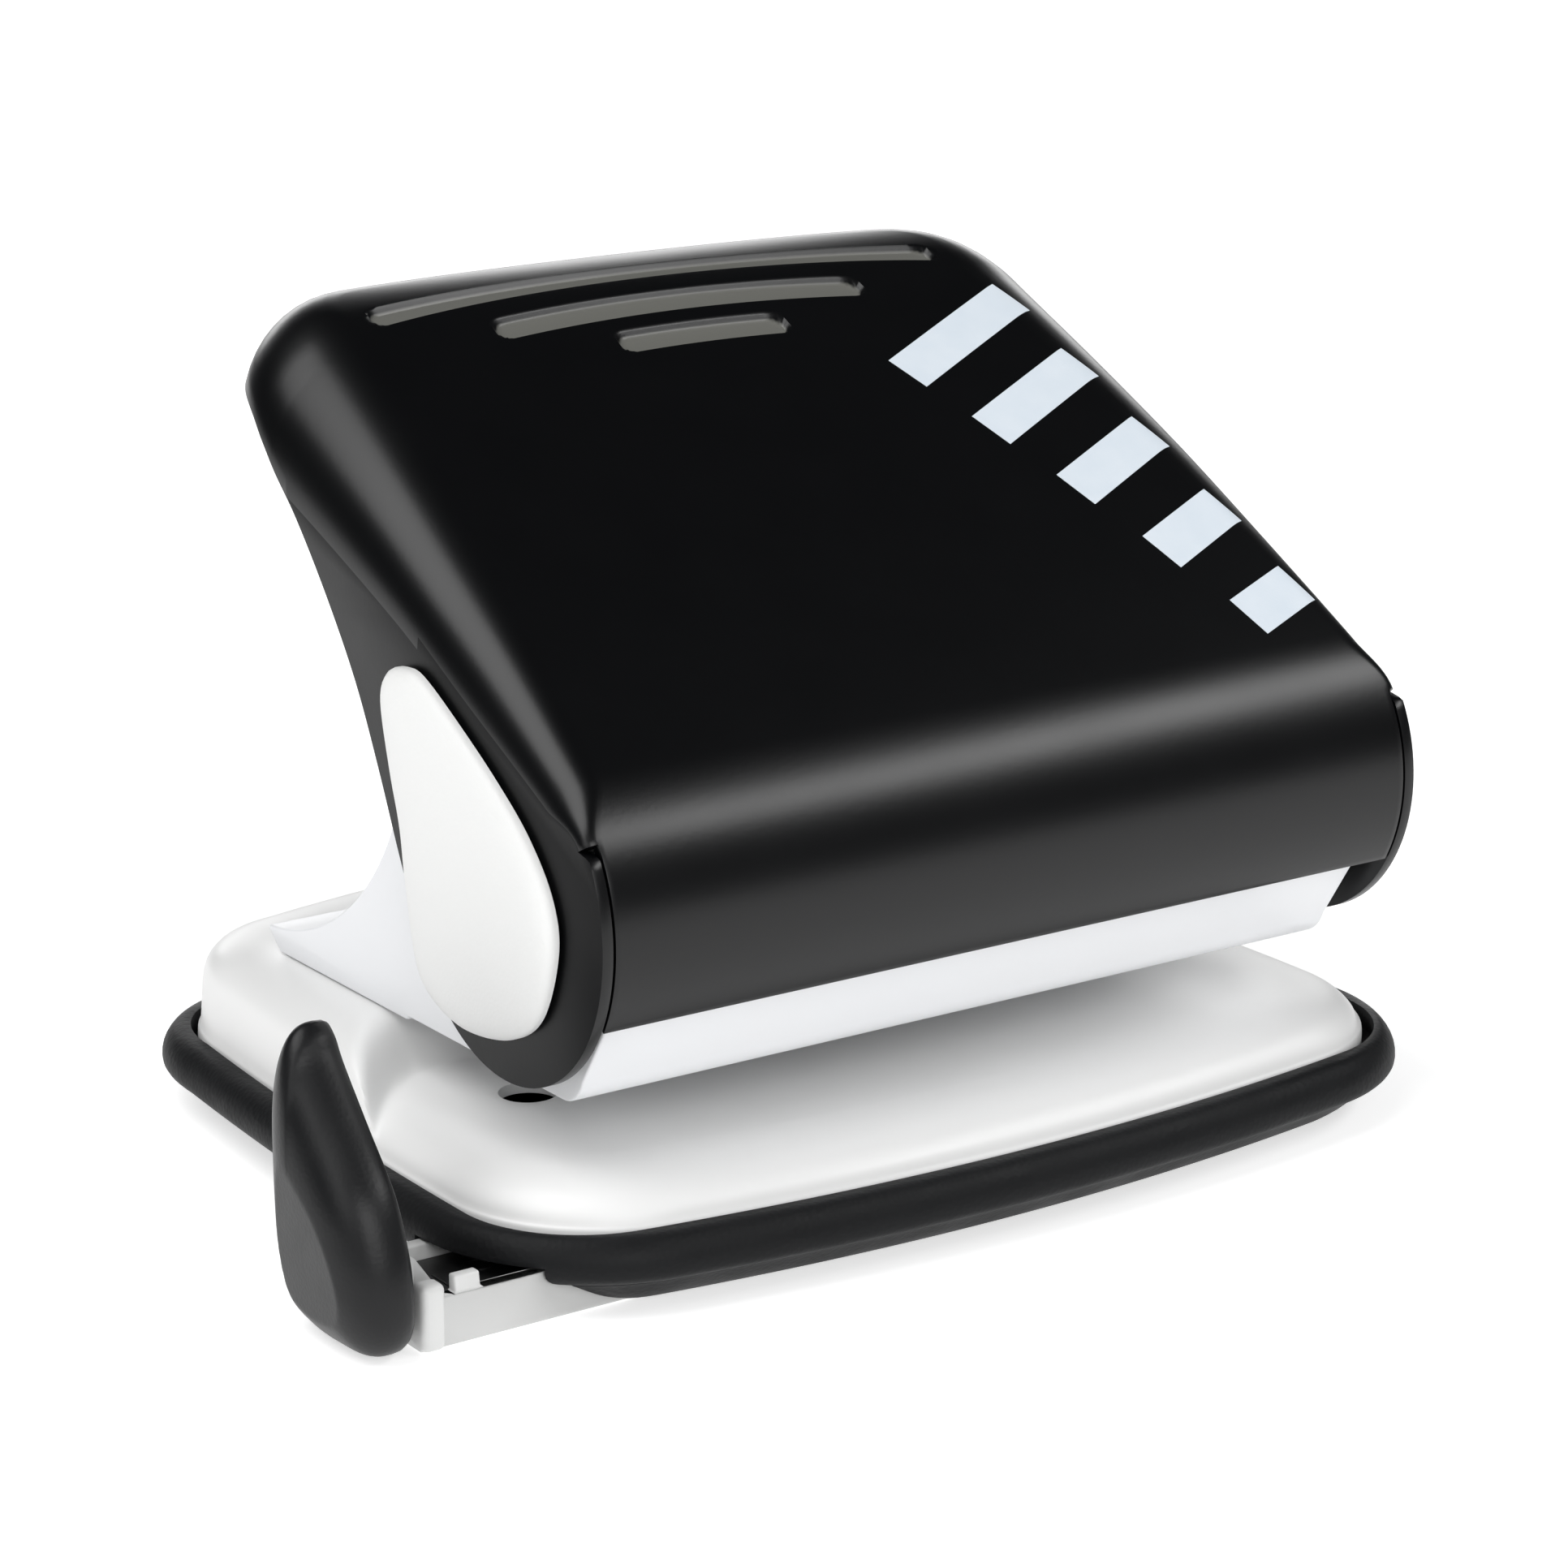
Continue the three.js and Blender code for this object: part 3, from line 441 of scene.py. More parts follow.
def panel_z(y):
    def rise(to):
        half = (to - PANEL_Y0) / 2
        return PANEL_Z0 + 2 * half * math.tan(math.radians(
            SLOPE0 + (SLOPE1 - SLOPE0) * half / (CURL_Y - PANEL_Y0)))

    if y <= CURL_Y:
        return rise(y)
    crest_y = CURL_Y + CURL_R * sin_d(SLOPE1)
    crest_z = rise(CURL_Y) + CURL_R * (1 - cos_d(SLOPE1))
    return crest_z - CURL_R + math.sqrt(CURL_R ** 2 - (y - crest_y) ** 2)


# The corner's arc meets the bowed back edge where both have the same direction.
TANGENT_X = CORNER_X
for _ in range(12):
    lean = 2 * BOW * TANGENT_X
    TANGENT_X = CORNER_X + CORNER * lean / math.hypot(1, lean)
TANGENT_SIZE = math.hypot(1, 2 * BOW * TANGENT_X)
CORNER_Y = BACK_Y - BOW * TANGENT_X ** 2 - CORNER / TANGENT_SIZE
CORNER_END = math.degrees(math.atan2(1, 2 * BOW * TANGENT_X))

REAR_EDGE = spline([
    (32.7, 32.8), (35.7, 38.7), (39.4, 46.7), (43.6, 54.7), (49.1, 62.4), (55.0, 69.3),
    (59.6, 73.5), (62.8, 76.4), (65.6, 78.4), (69.0, 79.7), (74.0, 80.8)], 6) + [(95.0, 81.1)]


class Station:
    """A place on the handle's outline: where it is, which way is inwards and which way the
    sheet turns down, and the radius of the bend there."""

    def __init__(self, x, y, inward, down, bend, z=None):
        self.x, self.y, self.inward, self.down, self.bend, self.z = x, y, inward, down, bend, z

    def at(self, phi, side=1):
        inwards = self.bend * (1 - cos_d(phi))
        lower = self.bend * (1 - sin_d(phi))
        x = self.x + self.inward[0] * inwards
        y = self.y + self.inward[1] * inwards
        top = panel_z(y) if self.z is None else self.z
        return (side * x, y + self.down[0] * lower, top + self.down[1] * lower)

    def lowest(self):
        """The bend's last angle: 0, or where the cut rear edge crosses the bend."""
        if self.z is not None or self.y < 45:
            return 0.0

        def over(phi):
            _, y, z = self.at(phi)
            return z - table_value(REAR_EDGE, y)

        if over(0.0) >= 0:
            return 0.0
        low, high = 0.0, 90.0
        for _ in range(30):
            middle = (low + high) / 2
            low, high = (low, middle) if over(middle) > 0 else (middle, high)
        return high

    def ring(self, side=1, steps=10):
        return [self.at(phi, side) for phi in spread(self.lowest(), 90.0, steps)]


def neck_station(angle):
    across_y, up_z = cos_d(angle), sin_d(angle)
    bend = mix(SLIT_BEND, FRONT_BEND, ease((SLIT_TOP - angle) / (SLIT_TOP - NECK_TOP)))
    return Station(HANDLE_X, PIVOT_Y + NOSE_R * across_y, (-1, 0), (-across_y, -up_z),
                   bend, PIVOT_Z + NOSE_R * up_z)


def side_station(y):
    tilt = SLOPE0 * (1 - ease((y - PANEL_Y0) / 30))
    bend = mix(FRONT_BEND, SIDE_BEND, (y - PANEL_Y0) / (CORNER_Y - PANEL_Y0))
    return Station(HANDLE_X, y, (-1, 0), (sin_d(tilt), -cos_d(tilt)), bend)


def corner_station(angle):
    bend = mix(SIDE_BEND, BACK_BEND, ease(angle / CORNER_END))
    return Station(CORNER_X + CORNER * cos_d(angle), CORNER_Y + CORNER * sin_d(angle),
                   (-cos_d(angle), -sin_d(angle)), (0, -1), bend)


def back_station(x):
    lean = 2 * BOW * x
    size = math.hypot(1, lean)
    return Station(x, BACK_Y - BOW * x * x, (-lean / size, -1 / size), (0, -1), BACK_BEND)


def row_bow(middle_y):
    """The panel's rows are straight at the front and bowed like the back edge behind."""
    return 0.0026 * ease((middle_y - 18) / 34)


def station_for_row(middle_y):
    """The station where the panel row through (0, middle_y) meets the bend."""
    bow = row_bow(middle_y)
    y = middle_y
    for _ in range(20):
        y = middle_y - bow * side_station(y).at(90)[0] ** 2
    if y < CORNER_Y:
        return side_station(y)
    low, high = 0.0, CORNER_END
    for _ in range(30):
        angle = (low + high) / 2
        x, y, _ = corner_station(angle).at(90)
        low, high = (angle, high) if y + bow * x * x < middle_y else (low, angle)
    return corner_station(high)


def panel_rows():
    """Middle y of every row of the panel, close together at the grooves."""
    x, y, _ = corner_station(CORNER_END).at(90)
    last = y + row_bow(BACK_Y) * x * x
    half = [0.4, 0.8, GROOVE_FLAT, 1.38, 1.55, 1.72, 2.0, 2.4]
    fine = [-f for f in half] + [0] + half
    ys = set(spread(PANEL_Y0, 53.4, 32)) | set(spread(70.6, last, 9))
    ys |= {middle + f for _, middle in GROOVES for f in fine}
    # one row ends just where the rear edge leaves the side plate and crosses the bend
    low, high = 50.0, 63.0
    for _ in range(30):
        y = (low + high) / 2
        low, high = (low, y) if side_station(y).lowest() > 0 else (y, high)
    meeting = low + row_bow(low + 3.5) * side_station(low).at(90)[0] ** 2
    ys = {v for v in ys if abs(v - meeting) > 0.12} | {meeting}
    return sorted(ys)


def groove_drop(x, y):
    """How far the grooves lower the panel over (x, y)."""
    for half, middle in GROOVES:
        past_end = max(abs(x) - (half - 1.4), 0)
        off = math.hypot(past_end, y + row_bow(middle) * x * x - middle)
        if off < GROOVE_EDGE:
            return GROOVE_DEPTH * (1 - ease((off - GROOVE_FLAT) / GROOVE_WALL))
    return 0.0


def panel_lines(middles, stations):
    """One line of points across the panel for each row, between the bends' inner ends."""
    lines = []
    for middle, station in zip(middles, stations):
        edge_x, edge_y, _ = station.at(90)
        bow = (middle - edge_y) / edge_x ** 2
        line = []
        for x in spread(-edge_x, edge_x, COLUMNS):
            y = middle - bow * x * x
            line.append((x, y, panel_z(y) - groove_drop(x, y)))
        lines.append(line)
    return lines


def back_stations(inner_xs):
    """The stations along the back whose bends end inwards at these x."""
    out = []
    for x in inner_xs:
        outer = x
        for _ in range(8):
            lean = 2 * BOW * outer
            outer = x + BACK_BEND * lean / math.hypot(1, lean)
        out.append(back_station(outer))
    return out


def side_plate(stations):
    """The outline of the flat plate from the bends down to the disc round the pivot."""
    bend_line = [s.at(0) for s in stations if s.x == HANDLE_X and s.lowest() == 0]
    meeting_y = bend_line[-1][1]
    rear = [(y, z) for y, z in reversed(REAR_EDGE) if y < meeting_y - 0.2]
    disc = arc(PIVOT_Y, PIVOT_Z, NOSE_R, 342, SLIT_TOP + 5, 64)
    tuck, tuck_r = SLIT_TOP + 3.2, NOSE_R - 0.45  # a small step in at the slit's closed end
    disc.append((PIVOT_Y + tuck_r * cos_d(tuck), PIVOT_Z + tuck_r * sin_d(tuck)))
    return bend_line + [(HANDLE_X, y, z) for y, z in rear + disc]


def handle_skin():
    skin = Skin()
    nose = [[(x, PIVOT_Y + NOSE_R * cos_d(a), PIVOT_Z + NOSE_R * sin_d(a))
             for x in spread(-SLIT_X, SLIT_X, COLUMNS)] for a in spread(SKIRT_END, SLIT_TOP, 30)]
    necks = [neck_station(a) for a in spread(SLIT_TOP, NECK_TOP, 12)]
    neck = [[(x, s.y, s.z) for x in spread(-(HANDLE_X - s.bend), HANDLE_X - s.bend, COLUMNS)]
            for s in necks]
    middles = panel_rows()
    corner = corner_station(CORNER_END)
    sides = [station_for_row(m) for m in middles[1:-1]] + [corner]
    panel = panel_lines(middles[1:], sides)
    # the last row is the inner end of the bend along the back
    back = back_stations([x for x, _, _ in panel[-1][1:-1]])
    panel[-1][1:-1] = [s.at(90) for s in back]
    skin.rows(nose + neck[1:] + panel)
    for side in (-1, 1):
        skin.rows([s.ring(side) for s in necks + sides])
    skin.rows([corner.ring(-1)] + [s.ring() for s in back] + [corner.ring(1)])
    plate = side_plate(necks + sides)
    for side in (-1, 1):
        skin.face(*[(side * x, y, z) for x, y, z in plate])
    shell = skin.piece(upwards=True)
    thicken(shell, SHEET)
    return bevel(shell, 0.28, angle=62.0, segments=2, sharp=38.0)


PANEL_TILT = 30.0  # of the panel's normal, on average
PRINT_ROOT, PRINT_TOP = -0.05, 0.035  # the print's two faces, above the panel


def on_panel(x, y, lift):
    """The point over (x, y) on the panel, its side bend or the nose, lifted along the normal."""
    if y < PANEL_Y0:
        z = PIVOT_Z + math.sqrt(NOSE_R ** 2 - (y - PIVOT_Y) ** 2)
        return (x, y + (y - PIVOT_Y) / NOSE_R * lift, z + (z - PIVOT_Z) / NOSE_R * lift)
    station = side_station(y)
    past = max(x - (HANDLE_X - station.bend), 0.0)
    phi = math.degrees(math.acos(min(past / station.bend, 1.0)))
    _, at_y, at_z = station.at(phi) if past else (x, y, panel_z(y))
    return (x + cos_d(phi) * lift, at_y - sin_d(phi) * lift * sin_d(PANEL_TILT),
            at_z + sin_d(phi) * lift * cos_d(PANEL_TILT))


def printed_strip(near, far):
    """A thin printed band between two lines of (x, y) points of equal length, on the panel."""
    skin = Skin()
    lines = [[on_panel(*p, lift) for p in line] for line, lift in
             ((near, PRINT_ROOT), (near, PRINT_TOP), (far, PRINT_TOP), (far, PRINT_ROOT),
              (near, PRINT_ROOT))]
    between = [[on_panel(*(mix(a, b, share) for a, b in zip(p, q)), PRINT_TOP)
                for p, q in zip(near, far)] for share in spread(0, 1, 6)[1:-1]]
    lines[2:2] = between
    skin.rows(lines)
    for k in (0, -1):
        skin.face(*[line[k] for line in lines[:-1]])
    return skin.piece()


def printed_bar(start, end, width):
    """A straight bar from start to end with square ends."""
    along = Vector(end) - Vector(start)
    off = Vector((-along.y, along.x)).normalized() * width / 2
    line = [Vector(start) + along * i / 24 for i in range(25)]
    return printed_strip([tuple(p - off) for p in line], [tuple(p + off) for p in line])


handle = handle_skin()
dress(handle, "handle_shell_skin", BLACK_PAINT, "black_paint", "handle", "handle_shell")
handle.data.materials.append(SIDE_PAINT)
# each point's share of the groove depth, which places the painted sheen on the groove bottoms
groove_sheen_share = handle.data.attributes.new("groove", "FLOAT", "POINT")
for vertex, share in zip(handle.data.vertices, groove_sheen_share.data):
    x, y, z = vertex.co.x * 1000, vertex.co.y * 1000 + TRAY_CENTRE_Y, vertex.co.z * 1000
    if 50 < y < 72 and z > panel_z(y) - GROOVE_DEPTH - 0.1:  # the outer skin only
        share.value = groove_drop(x, y) / GROOVE_DEPTH
for face in handle.data.polygons:
    if abs(face.normal.x) > 0.99 and abs(face.center.x) > (HANDLE_X - 0.05) * 0.001:
        face.material_index = 1

bars = [printed_bar((20.0 + 4.4 * i, 46.6 - 9.3 * i), (41.2 + 1.4 * i, 56.0 - 10.9 * i), 4.8)
        for i in range(5)]
dress(join(*bars), "panel_print", PRINT_WHITE, "inlay_plastic", "handle")


# ---------- inlays and end stop ----------

INLAY = [
    (31.3, 58.9), (34.6, 58.0), (36.1, 54.7), (34.6, 47.8), (32.9, 42.3), (32.0, 36.6),
    (30.0, 28.4), (26.2, 25.3), (20.5, 24.2), (12.8, 25.5), (7.3, 29.2), (4.4, 36.5),
    (5.4, 41.8), (9.6, 46.9), (15.5, 51.2), (22.6, 55.4), (28.4, 58.4)]
STOP = [
    (16.8, 30.3), (18.2, 29.0), (19.0, 26.2), (19.2, 21.0), (19.1, 14.0), (18.5, 6.4),
    (16.6, 1.6), (12.4, 0.2), (7.4, 0.1), (3.2, 0.7), (1.0, 3.6), (0.8, 7.4), (1.8, 11.6),
    (4.2, 16.6), (9.4, 22.4), (13.6, 27.2), (15.1, 29.4)]


def inset_loops(loop, distances):
    """The (y, z) loop moved inwards by each distance; where it runs out of room it shrinks
    evenly towards its middle instead."""
    n = len(loop)
    area = sum(a[0] * b[1] - b[0] * a[1] for a, b in zip(loop, loop[1:] + loop[:1]))
    turn = 1 if area > 0 else -1
    middle = (sum(p[0] for p in loop) / n, sum(p[1] for p in loop) / n)
    reach = min(math.dist(p, middle) for p in loop)
    out = []
    for distance in distances:
        ring = []
        for i, p in enumerate(loop):
            a, b = loop[i - 1], loop[(i + 1) % n]
            d = math.dist(a, b)
            inward = (-(b[1] - a[1]) / d * turn, (b[0] - a[0]) / d * turn)
            moved = (p[0] + inward[0] * distance, p[1] + inward[1] * distance)
            scale = 1 - distance / reach
            shrunk = tuple(mix(m, c, scale) for m, c in zip(middle, p))
            blend = ease(distance / (reach * 0.55))
            ring.append(tuple(mix(u, v, blend) for u, v in zip(moved, shrunk)))
        out.append(ring)
    return out


INLAY_LEVELS = [  # inset, distance out
    (0.35, 0.0), (0.0, 0.25), (0.0, 0.7), (0.12, 1.05), (0.4, 1.35), (0.9, 1.6), (1.6, 1.78),
    (2.6, 1.92), (4.0, 2.02), (6.0, 2.1), (8.0, 2.13), (10.0, 2.14)]
STOP_LEVELS = [(0.9, 0.0), (0.4, 0.3), (0.1, 0.9), (0.0, 1.8)]  # inset, distance out
STOP_X = 69.8  # its inner face
STOP_DOME_CENTRE = (11.5, 12.0)
STOP_DOME_RISE, STOP_DOME_SHAPE = 5.75, 2.5


def side_inlay(side):
    loop = even_loop(spline(INLAY, 8, closed=True), 128)
    rings = inset_loops(loop, [inset for inset, _ in INLAY_LEVELS])
    x0 = HANDLE_X + 0.3
    return stacked([[(side * (x0 + out), y, z) for y, z in ring]
                    for ring, (_, out) in zip(rings, INLAY_LEVELS)])


def stop_facet(y, z):
    """How far out the flat low on the stop's outer face lies."""
    return 7.0 + 0.10 * (z - 12.0) - 0.04 * (y - 10.0)


def end_stop():
    """A rim and a dome over it, with a flat cut off the dome, and the tab into the rail."""
    loop = even_loop(spline(STOP, 8, closed=True), 144)
    insets = inset_loops(loop, [inset for inset, _ in STOP_LEVELS])
    rings = [[(-(STOP_X + out), y, z) for y, z in ring]
             for ring, (_, out) in zip(insets, STOP_LEVELS)]
    rim_out = STOP_LEVELS[-1][1]
    for turn in spread(0, 90, 36)[1:-1]:
        share = 1 - cos_d(turn) ** (2 / STOP_DOME_SHAPE)
        dome = rim_out + STOP_DOME_RISE * sin_d(turn) ** (2 / STOP_DOME_SHAPE)
        ring = []
        for point in loop:
            y, z = (mix(a, b, share) for a, b in zip(point, STOP_DOME_CENTRE))
            ring.append((-(STOP_X + min(dome, stop_facet(y, z))), y, z))
        rings.append(ring)
    body = stacked(rings)
    tab = bevel(block(-71.5, -68.8, 4.5, 15.5, 1.6, 6.6), 0.3)
    return carve(body, tab, mode="UNION")


for side, name in ((-1, "left"), (1, "right")):
    dress(side_inlay(side), f"side_inlay_{name}_skin", INLAY_WHITE, "inlay_plastic", "handle",
          f"side_inlay_{name}")
dress(end_stop(), "end_stop_skin", STOP_BLACK, "stop_plastic", "rail", "end_stop")


# ---------- footprint of the base and the tray ----------

HALF_WIDTH, FRONT_EDGE_Y, BACK_EDGE_Y = 56.5, -3.0, 90.0
FRONT_BOW, BACK_BOW, SIDE_BOW, WIDEST_Y = 0.00186, 0.00274, 0.0009, 20.0


def side_shares():
    """Places along a side, from 0 to 1, close together where the paper stop meets it."""
    coarse = [0.02, 0.05, 0.09, 0.13, 0.17, 0.21]
    fine = spread(0.24, 0.58, 56)
    return coarse + fine + spread(0.61, 0.98, 14)


def footprint(grow, front_y=None, corner=1.0):
    """The right half of the outline, from the middle of the front to the middle of the back,
    grown outwards. front_y makes the front straight; corner scales the corners."""
    half = HALF_WIDTH + grow
    front_size = max(14 + 0.8 * grow, 5) * corner
    back_size = max(11.5 + 0.6 * grow, 5) * corner

    def front(x):
        return FRONT_EDGE_Y - grow + FRONT_BOW * x * x if front_y is None else front_y

    def back(x):
        return BACK_EDGE_Y + grow - BACK_BOW * x * x

    def side(y):
        return half - SIDE_BOW * (y - WIDEST_Y) ** 2

    inner_x = half - front_size
    front_y1 = front(half) + front_size
    back_y1 = back(half) - back_size
    back_x = side(back_y1) - back_size
    edge = [(x, front(x)) for x in spread(0, inner_x, 20)[:-1]]
    edge += corner_curve((inner_x, front(inner_x)), (side(front_y1), front(half)),
                         (side(front_y1), front_y1))
    edge += [(side(y), y) for y in (mix(front_y1, back_y1, t) for t in side_shares())]
    edge += corner_curve((side(back_y1), back_y1), (side(back_y1), back(back_x) - 1),
                         (back_x, back(back_x)))
    edge += [(x, back(x)) for x in spread(back_x, 0, 20)[1:]]
    return edge


def corner_curve(start, knee, end, steps=22):
    """A rounded corner from start to end, pulled towards the knee."""
    a = tuple(mix(s, k, 0.58) for s, k in zip(start, knee))
    b = tuple(mix(e, k, 0.58) for e, k in zip(end, knee))
    out = []
    for t in spread(0, 1, steps):
        u = 1 - t
        out.append(tuple(u ** 3 * p + 3 * u * u * t * q + 3 * u * t * t * r + t ** 3 * s
                         for p, q, r, s in zip(start, a, b, end)))
    return out


def full_loop(half):
    return half + [(-x, y) for x, y in reversed(half[1:-1])]


def moulded(levels, front_y=None, corner=1.0):
    """The footprint stacked up through the levels of (z, grow)."""
    return stacked([[(x, y, z) for x, y in full_loop(footprint(grow, front_y, corner))]
                    for z, grow in levels])


# ---------- base plate ----------

# The edge's profile as (z, grow), where the paper lies and round the raised platform.
BED = [(6.4, 0.25), (8.1, 0.2), (8.6, -0.2), (9.7, -0.8), (10.9, -2.1), (11.8, -4.0),
       (12.4, -6.6), (12.6, -9.5)]
PLATFORM = [(6.4, 0.25), (8.2, 0.2), (9.4, -0.15), (14.6, -0.6), (16.9, -1.9), (18.0, -4.0),
            (18.4, -6.6), (18.4, -9.5)]
# The rise from bed to platform: distance behind its foot, and the share of the height.
STEP = spline([(-1.4, 0.0), (-0.5, 0.02), (0.2, 0.12), (0.8, 0.29), (1.6, 0.54), (2.4, 0.73),
               (3.4, 0.88), (4.6, 0.97), (6.0, 1.0)], 5)


DIE_R = 3.1


def step_foot(x):
    """The y where the platform starts to rise; it comes forward outside the frame."""
    return 42.0 - 0.0135 * max(abs(x) - 42.0, 0.0) ** 2.45


def raised(x, y):
    """0 on the bed, 1 on the platform."""
    return table_value(STEP, y - step_foot(x))


def base_skin():
    bed = spline(BED, 4)
    platform = spline(PLATFORM, 4)
    rings = []
    for (z_low, grow_low), (z_high, grow_high) in zip(bed, platform):
        ring = []
        for low, high in zip(footprint(grow_low), footprint(grow_high)):
            share = raised((low[0] + high[0]) / 2, (low[1] + high[1]) / 2)
            ring.append((mix(low[0], high[0], share), mix(low[1], high[1], share),
                         mix(z_low, z_high, share)))
        rings.append(ring)
    skin = Skin()
    for side in (-1, 1):
        skin.rows([[(side * x, y, z) for x, y, z in ring] for ring in rings])
    inner = rings[-1]
    skin.rows([[(x, edge_y, mix(BED_Z, PLATFORM_Z, raised(x, edge_y)))
                for x in spread(-edge_x, edge_x, 64)] for edge_x, edge_y, _ in inner])
    plate = skin.piece(upwards=True)
    thicken(plate, SHEET)
    dies = [lathe([(0, 5), (DIE_R, 5), (DIE_R, 20), (0, 20)], s * HOLE_X, PIN_Y)
            for s in (-1, 1)]
    carve(plate, *dies)
    return bevel(plate, 0.25, angle=60.0)


dress(base_skin(), "base_plate_skin", WHITE_ENAMEL, "white_enamel", "base", "base_plate")


# ---------- punch frame ----------

FRAME_SHEET = 1.5
FRAME_TOP = 46.0
FRAME_BEND = 1.6
FOOT_Z = PLATFORM_Z + 0.3
FOOT_CUT_Y = 40.85
SWEEP_Y, SWEEP_Z, SWEEP_R = 73, 55, 34  # the hollow sweep of the rear wall
TOE_Y, TOE_R = 10.8, 4.0  # the bend below the apron
PIN_BORE_R = 3.0


def frame_skin():
    """The pressing as a solid, less its hollow and the level cuts above and below."""
    tail = [(69.7, 19.95), (70.4, 20.6), (70.55, 20.95), (70.3, 21.1)]
    outer = (arc(PIVOT_Y, PIVOT_Z, 16.2, 133.8, 207, 30)
             + arc(TOE_Y, JAW_Z + TOE_R, TOE_R, 197, 270, 12)
             + [(y, JAW_Z) for y in spread(12, 40.8, 12)] + [(42.0, 14.0), (63.1, 14.0)] + tail
             + arc(SWEEP_Y, SWEEP_Z, SWEEP_R, 265, 188.5, 44))
    inner = (arc(PIVOT_Y, PIVOT_Z, 16.2 - FRAME_SHEET, 111.3, 206, 36)
             + arc(TOE_Y, JAW_Z + TOE_R, TOE_R - FRAME_SHEET, 197, 270, 10)
             + [(40.5, JAW_Z + FRAME_SHEET), (40.5, 12.0), (62.0, 12.0)]
             + arc(SWEEP_Y, SWEEP_Z, SWEEP_R + 1.4, 261.5, 184.9, 44))
    shell = bevel(across(outer, -FRAME_X, FRAME_X), FRAME_BEND, angle=70, segments=5)
    deep = FRAME_X - FRAME_SHEET
    hollow = bevel(across(inner, -deep, deep), 0.4, angle=70, segments=2)
    pins = [lathe([(0, 15), (PIN_BORE_R, 15), (PIN_BORE_R, 24), (0, 24)], s * HOLE_X, PIN_Y)
            for s in (-1, 1)]
    carve(shell, hollow, block(-60, 60, -10, 60, FRAME_TOP, 70),
          block(-60, 60, FOOT_CUT_Y, 80, 5, FOOT_Z), *pins,
          rod(AXLE_R + 0.2, -60, 60, PIVOT_Y, PIVOT_Z))
    bevel(shell, 0.3, angle=60.0)
    feet = [bevel(block(*xs, 43, 66, FOOT_Z, FOOT_Z + FRAME_SHEET), 0.25)
            for xs in ((-46.6, -37.5), (37.5, 46.6))]
    return carve(shell, *feet, mode="UNION")


dress(frame_skin(), "punch_frame_skin", FRAME_ENAMEL, "white_enamel", "base", "punch_frame")


# ---------- chip tray ----------

RAIL_OUT_X, RAIL_FRONT_Y, RAIL_BACK_Y = -68.5, 3.0, 17.3


def tray_skin():
    """The moulding, less its seat for the base, its hollow, the rail's channel and mouth, and
    the slot for the detent leaf."""
    outside = spline([  # (z, grow): skirt, crease and rolled rim
        (0.0, -2.2), (0.35, -1.5), (1.2, -0.3), (2.2, 0.8), (2.9, 1.55), (3.2, 1.9), (3.4, 1.75),
        (3.55, 2.6), (3.9, 3.4), (4.6, 3.95), (5.6, 4.0), (6.6, 3.7), (7.5, 3.1), (8.1, 2.4),
        (8.3, 1.8), (8.3, 1.2)], 2)
    tray = moulded(outside)
    seat = moulded([(6.1, 0.5), (9.5, 0.5)], corner=0.8)
    carve(seat, moulded([(5.0, -2.4), (10.5, -2.4)]))
    carve(
        tray, seat,
        moulded([(1.4, -4.6), (9.6, -3.6)], 19.3),
        moulded([(7.0, -3.6), (9.6, -3.6)]),
        moulded([(6.9, -1.0), (9.6, -1.0)]),
        block(-70, 39.5, RAIL_FRONT_Y - 0.3, RAIL_BACK_Y + 0.3, -1, 5.6),
        block(-70, -52.5, 1.0, RAIL_BACK_Y + 0.3, -1, 3.2),
        block(-45, -27, 7.4, 13.1, 5, 6.2))
    return bevel(tray, 0.22, angle=55.0)


dress(tray_skin(), "chip_tray_skin", TRAY_BLACK, "tray_plastic", "tray", "chip_tray")


# ---------- pieces refined from their CAD nodes ----------

def refined(node, width, angle=30.0):
    """A copy of a CAD node with its flat faces made whole and its edges rounded."""
    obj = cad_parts[node].copy()
    obj.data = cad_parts[node].data.copy()
    for key in [k for k in obj.keys() if k.startswith("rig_")]:
        del obj[key]
    obj.parent = None
    bpy.context.scene.collection.objects.link(obj)
    work = bmesh.new()
    work.from_mesh(obj.data)
    bmesh.ops.remove_doubles(work, verts=work.verts, dist=1e-6)
    bmesh.ops.dissolve_limit(work, angle_limit=math.radians(1.0), verts=work.verts,
                             edges=work.edges)
    work.to_mesh(obj.data)
    work.free()
    return bevel(obj, width, angle=angle)


rail_post = bevel(block(RAIL_OUT_X, RAIL_OUT_X + 2.6, RAIL_FRONT_Y - 0.7, RAIL_FRONT_Y + 1.8,
                        0.1, 6.9), 0.7, segments=3)
dress(carve(refined("guide_rail", 0.22), rail_post, mode="UNION"), "guide_rail_skin",
      RAIL_WHITE, "rail_plastic", "rail", "guide_rail")

for node, width, material, slot, body in (
        ("pin_guide_bracket", 0.2, STEEL, "steel", "base"),
        ("press_plate", 0.25, STEEL, "steel", "handle"),
        ("detent_leaf", 0.06, SPRING_STEEL, "spring_steel", "tray")):
    dress(refined(node, width), f"{node}_skin", material, slot, body, node)


# ---------- scale strip ----------

STRIP_TOP, MARK_TOP = 3.9, 4.05
MARK_X0, MARK_PITCH, MARKS = -62.5, 12.0, 8
RING_OUTER, RING_INNER, RING_Y = 1.5, 1.1, 11.0


def raised_ring(x):
    """A flat ring on the strip, between two ticks."""
    root = STRIP_TOP - 0.05
    profile = [(RING_OUTER, root), (RING_OUTER, MARK_TOP), (RING_INNER, MARK_TOP),
               (RING_INNER, root), (RING_OUTER, root)]
    skin = Skin()
    skin.rows([[(x + r * cos_d(a), RING_Y + r * sin_d(a), z) for a in turns(32)]
               for r, z in profile], closed=True)
    return skin.piece()


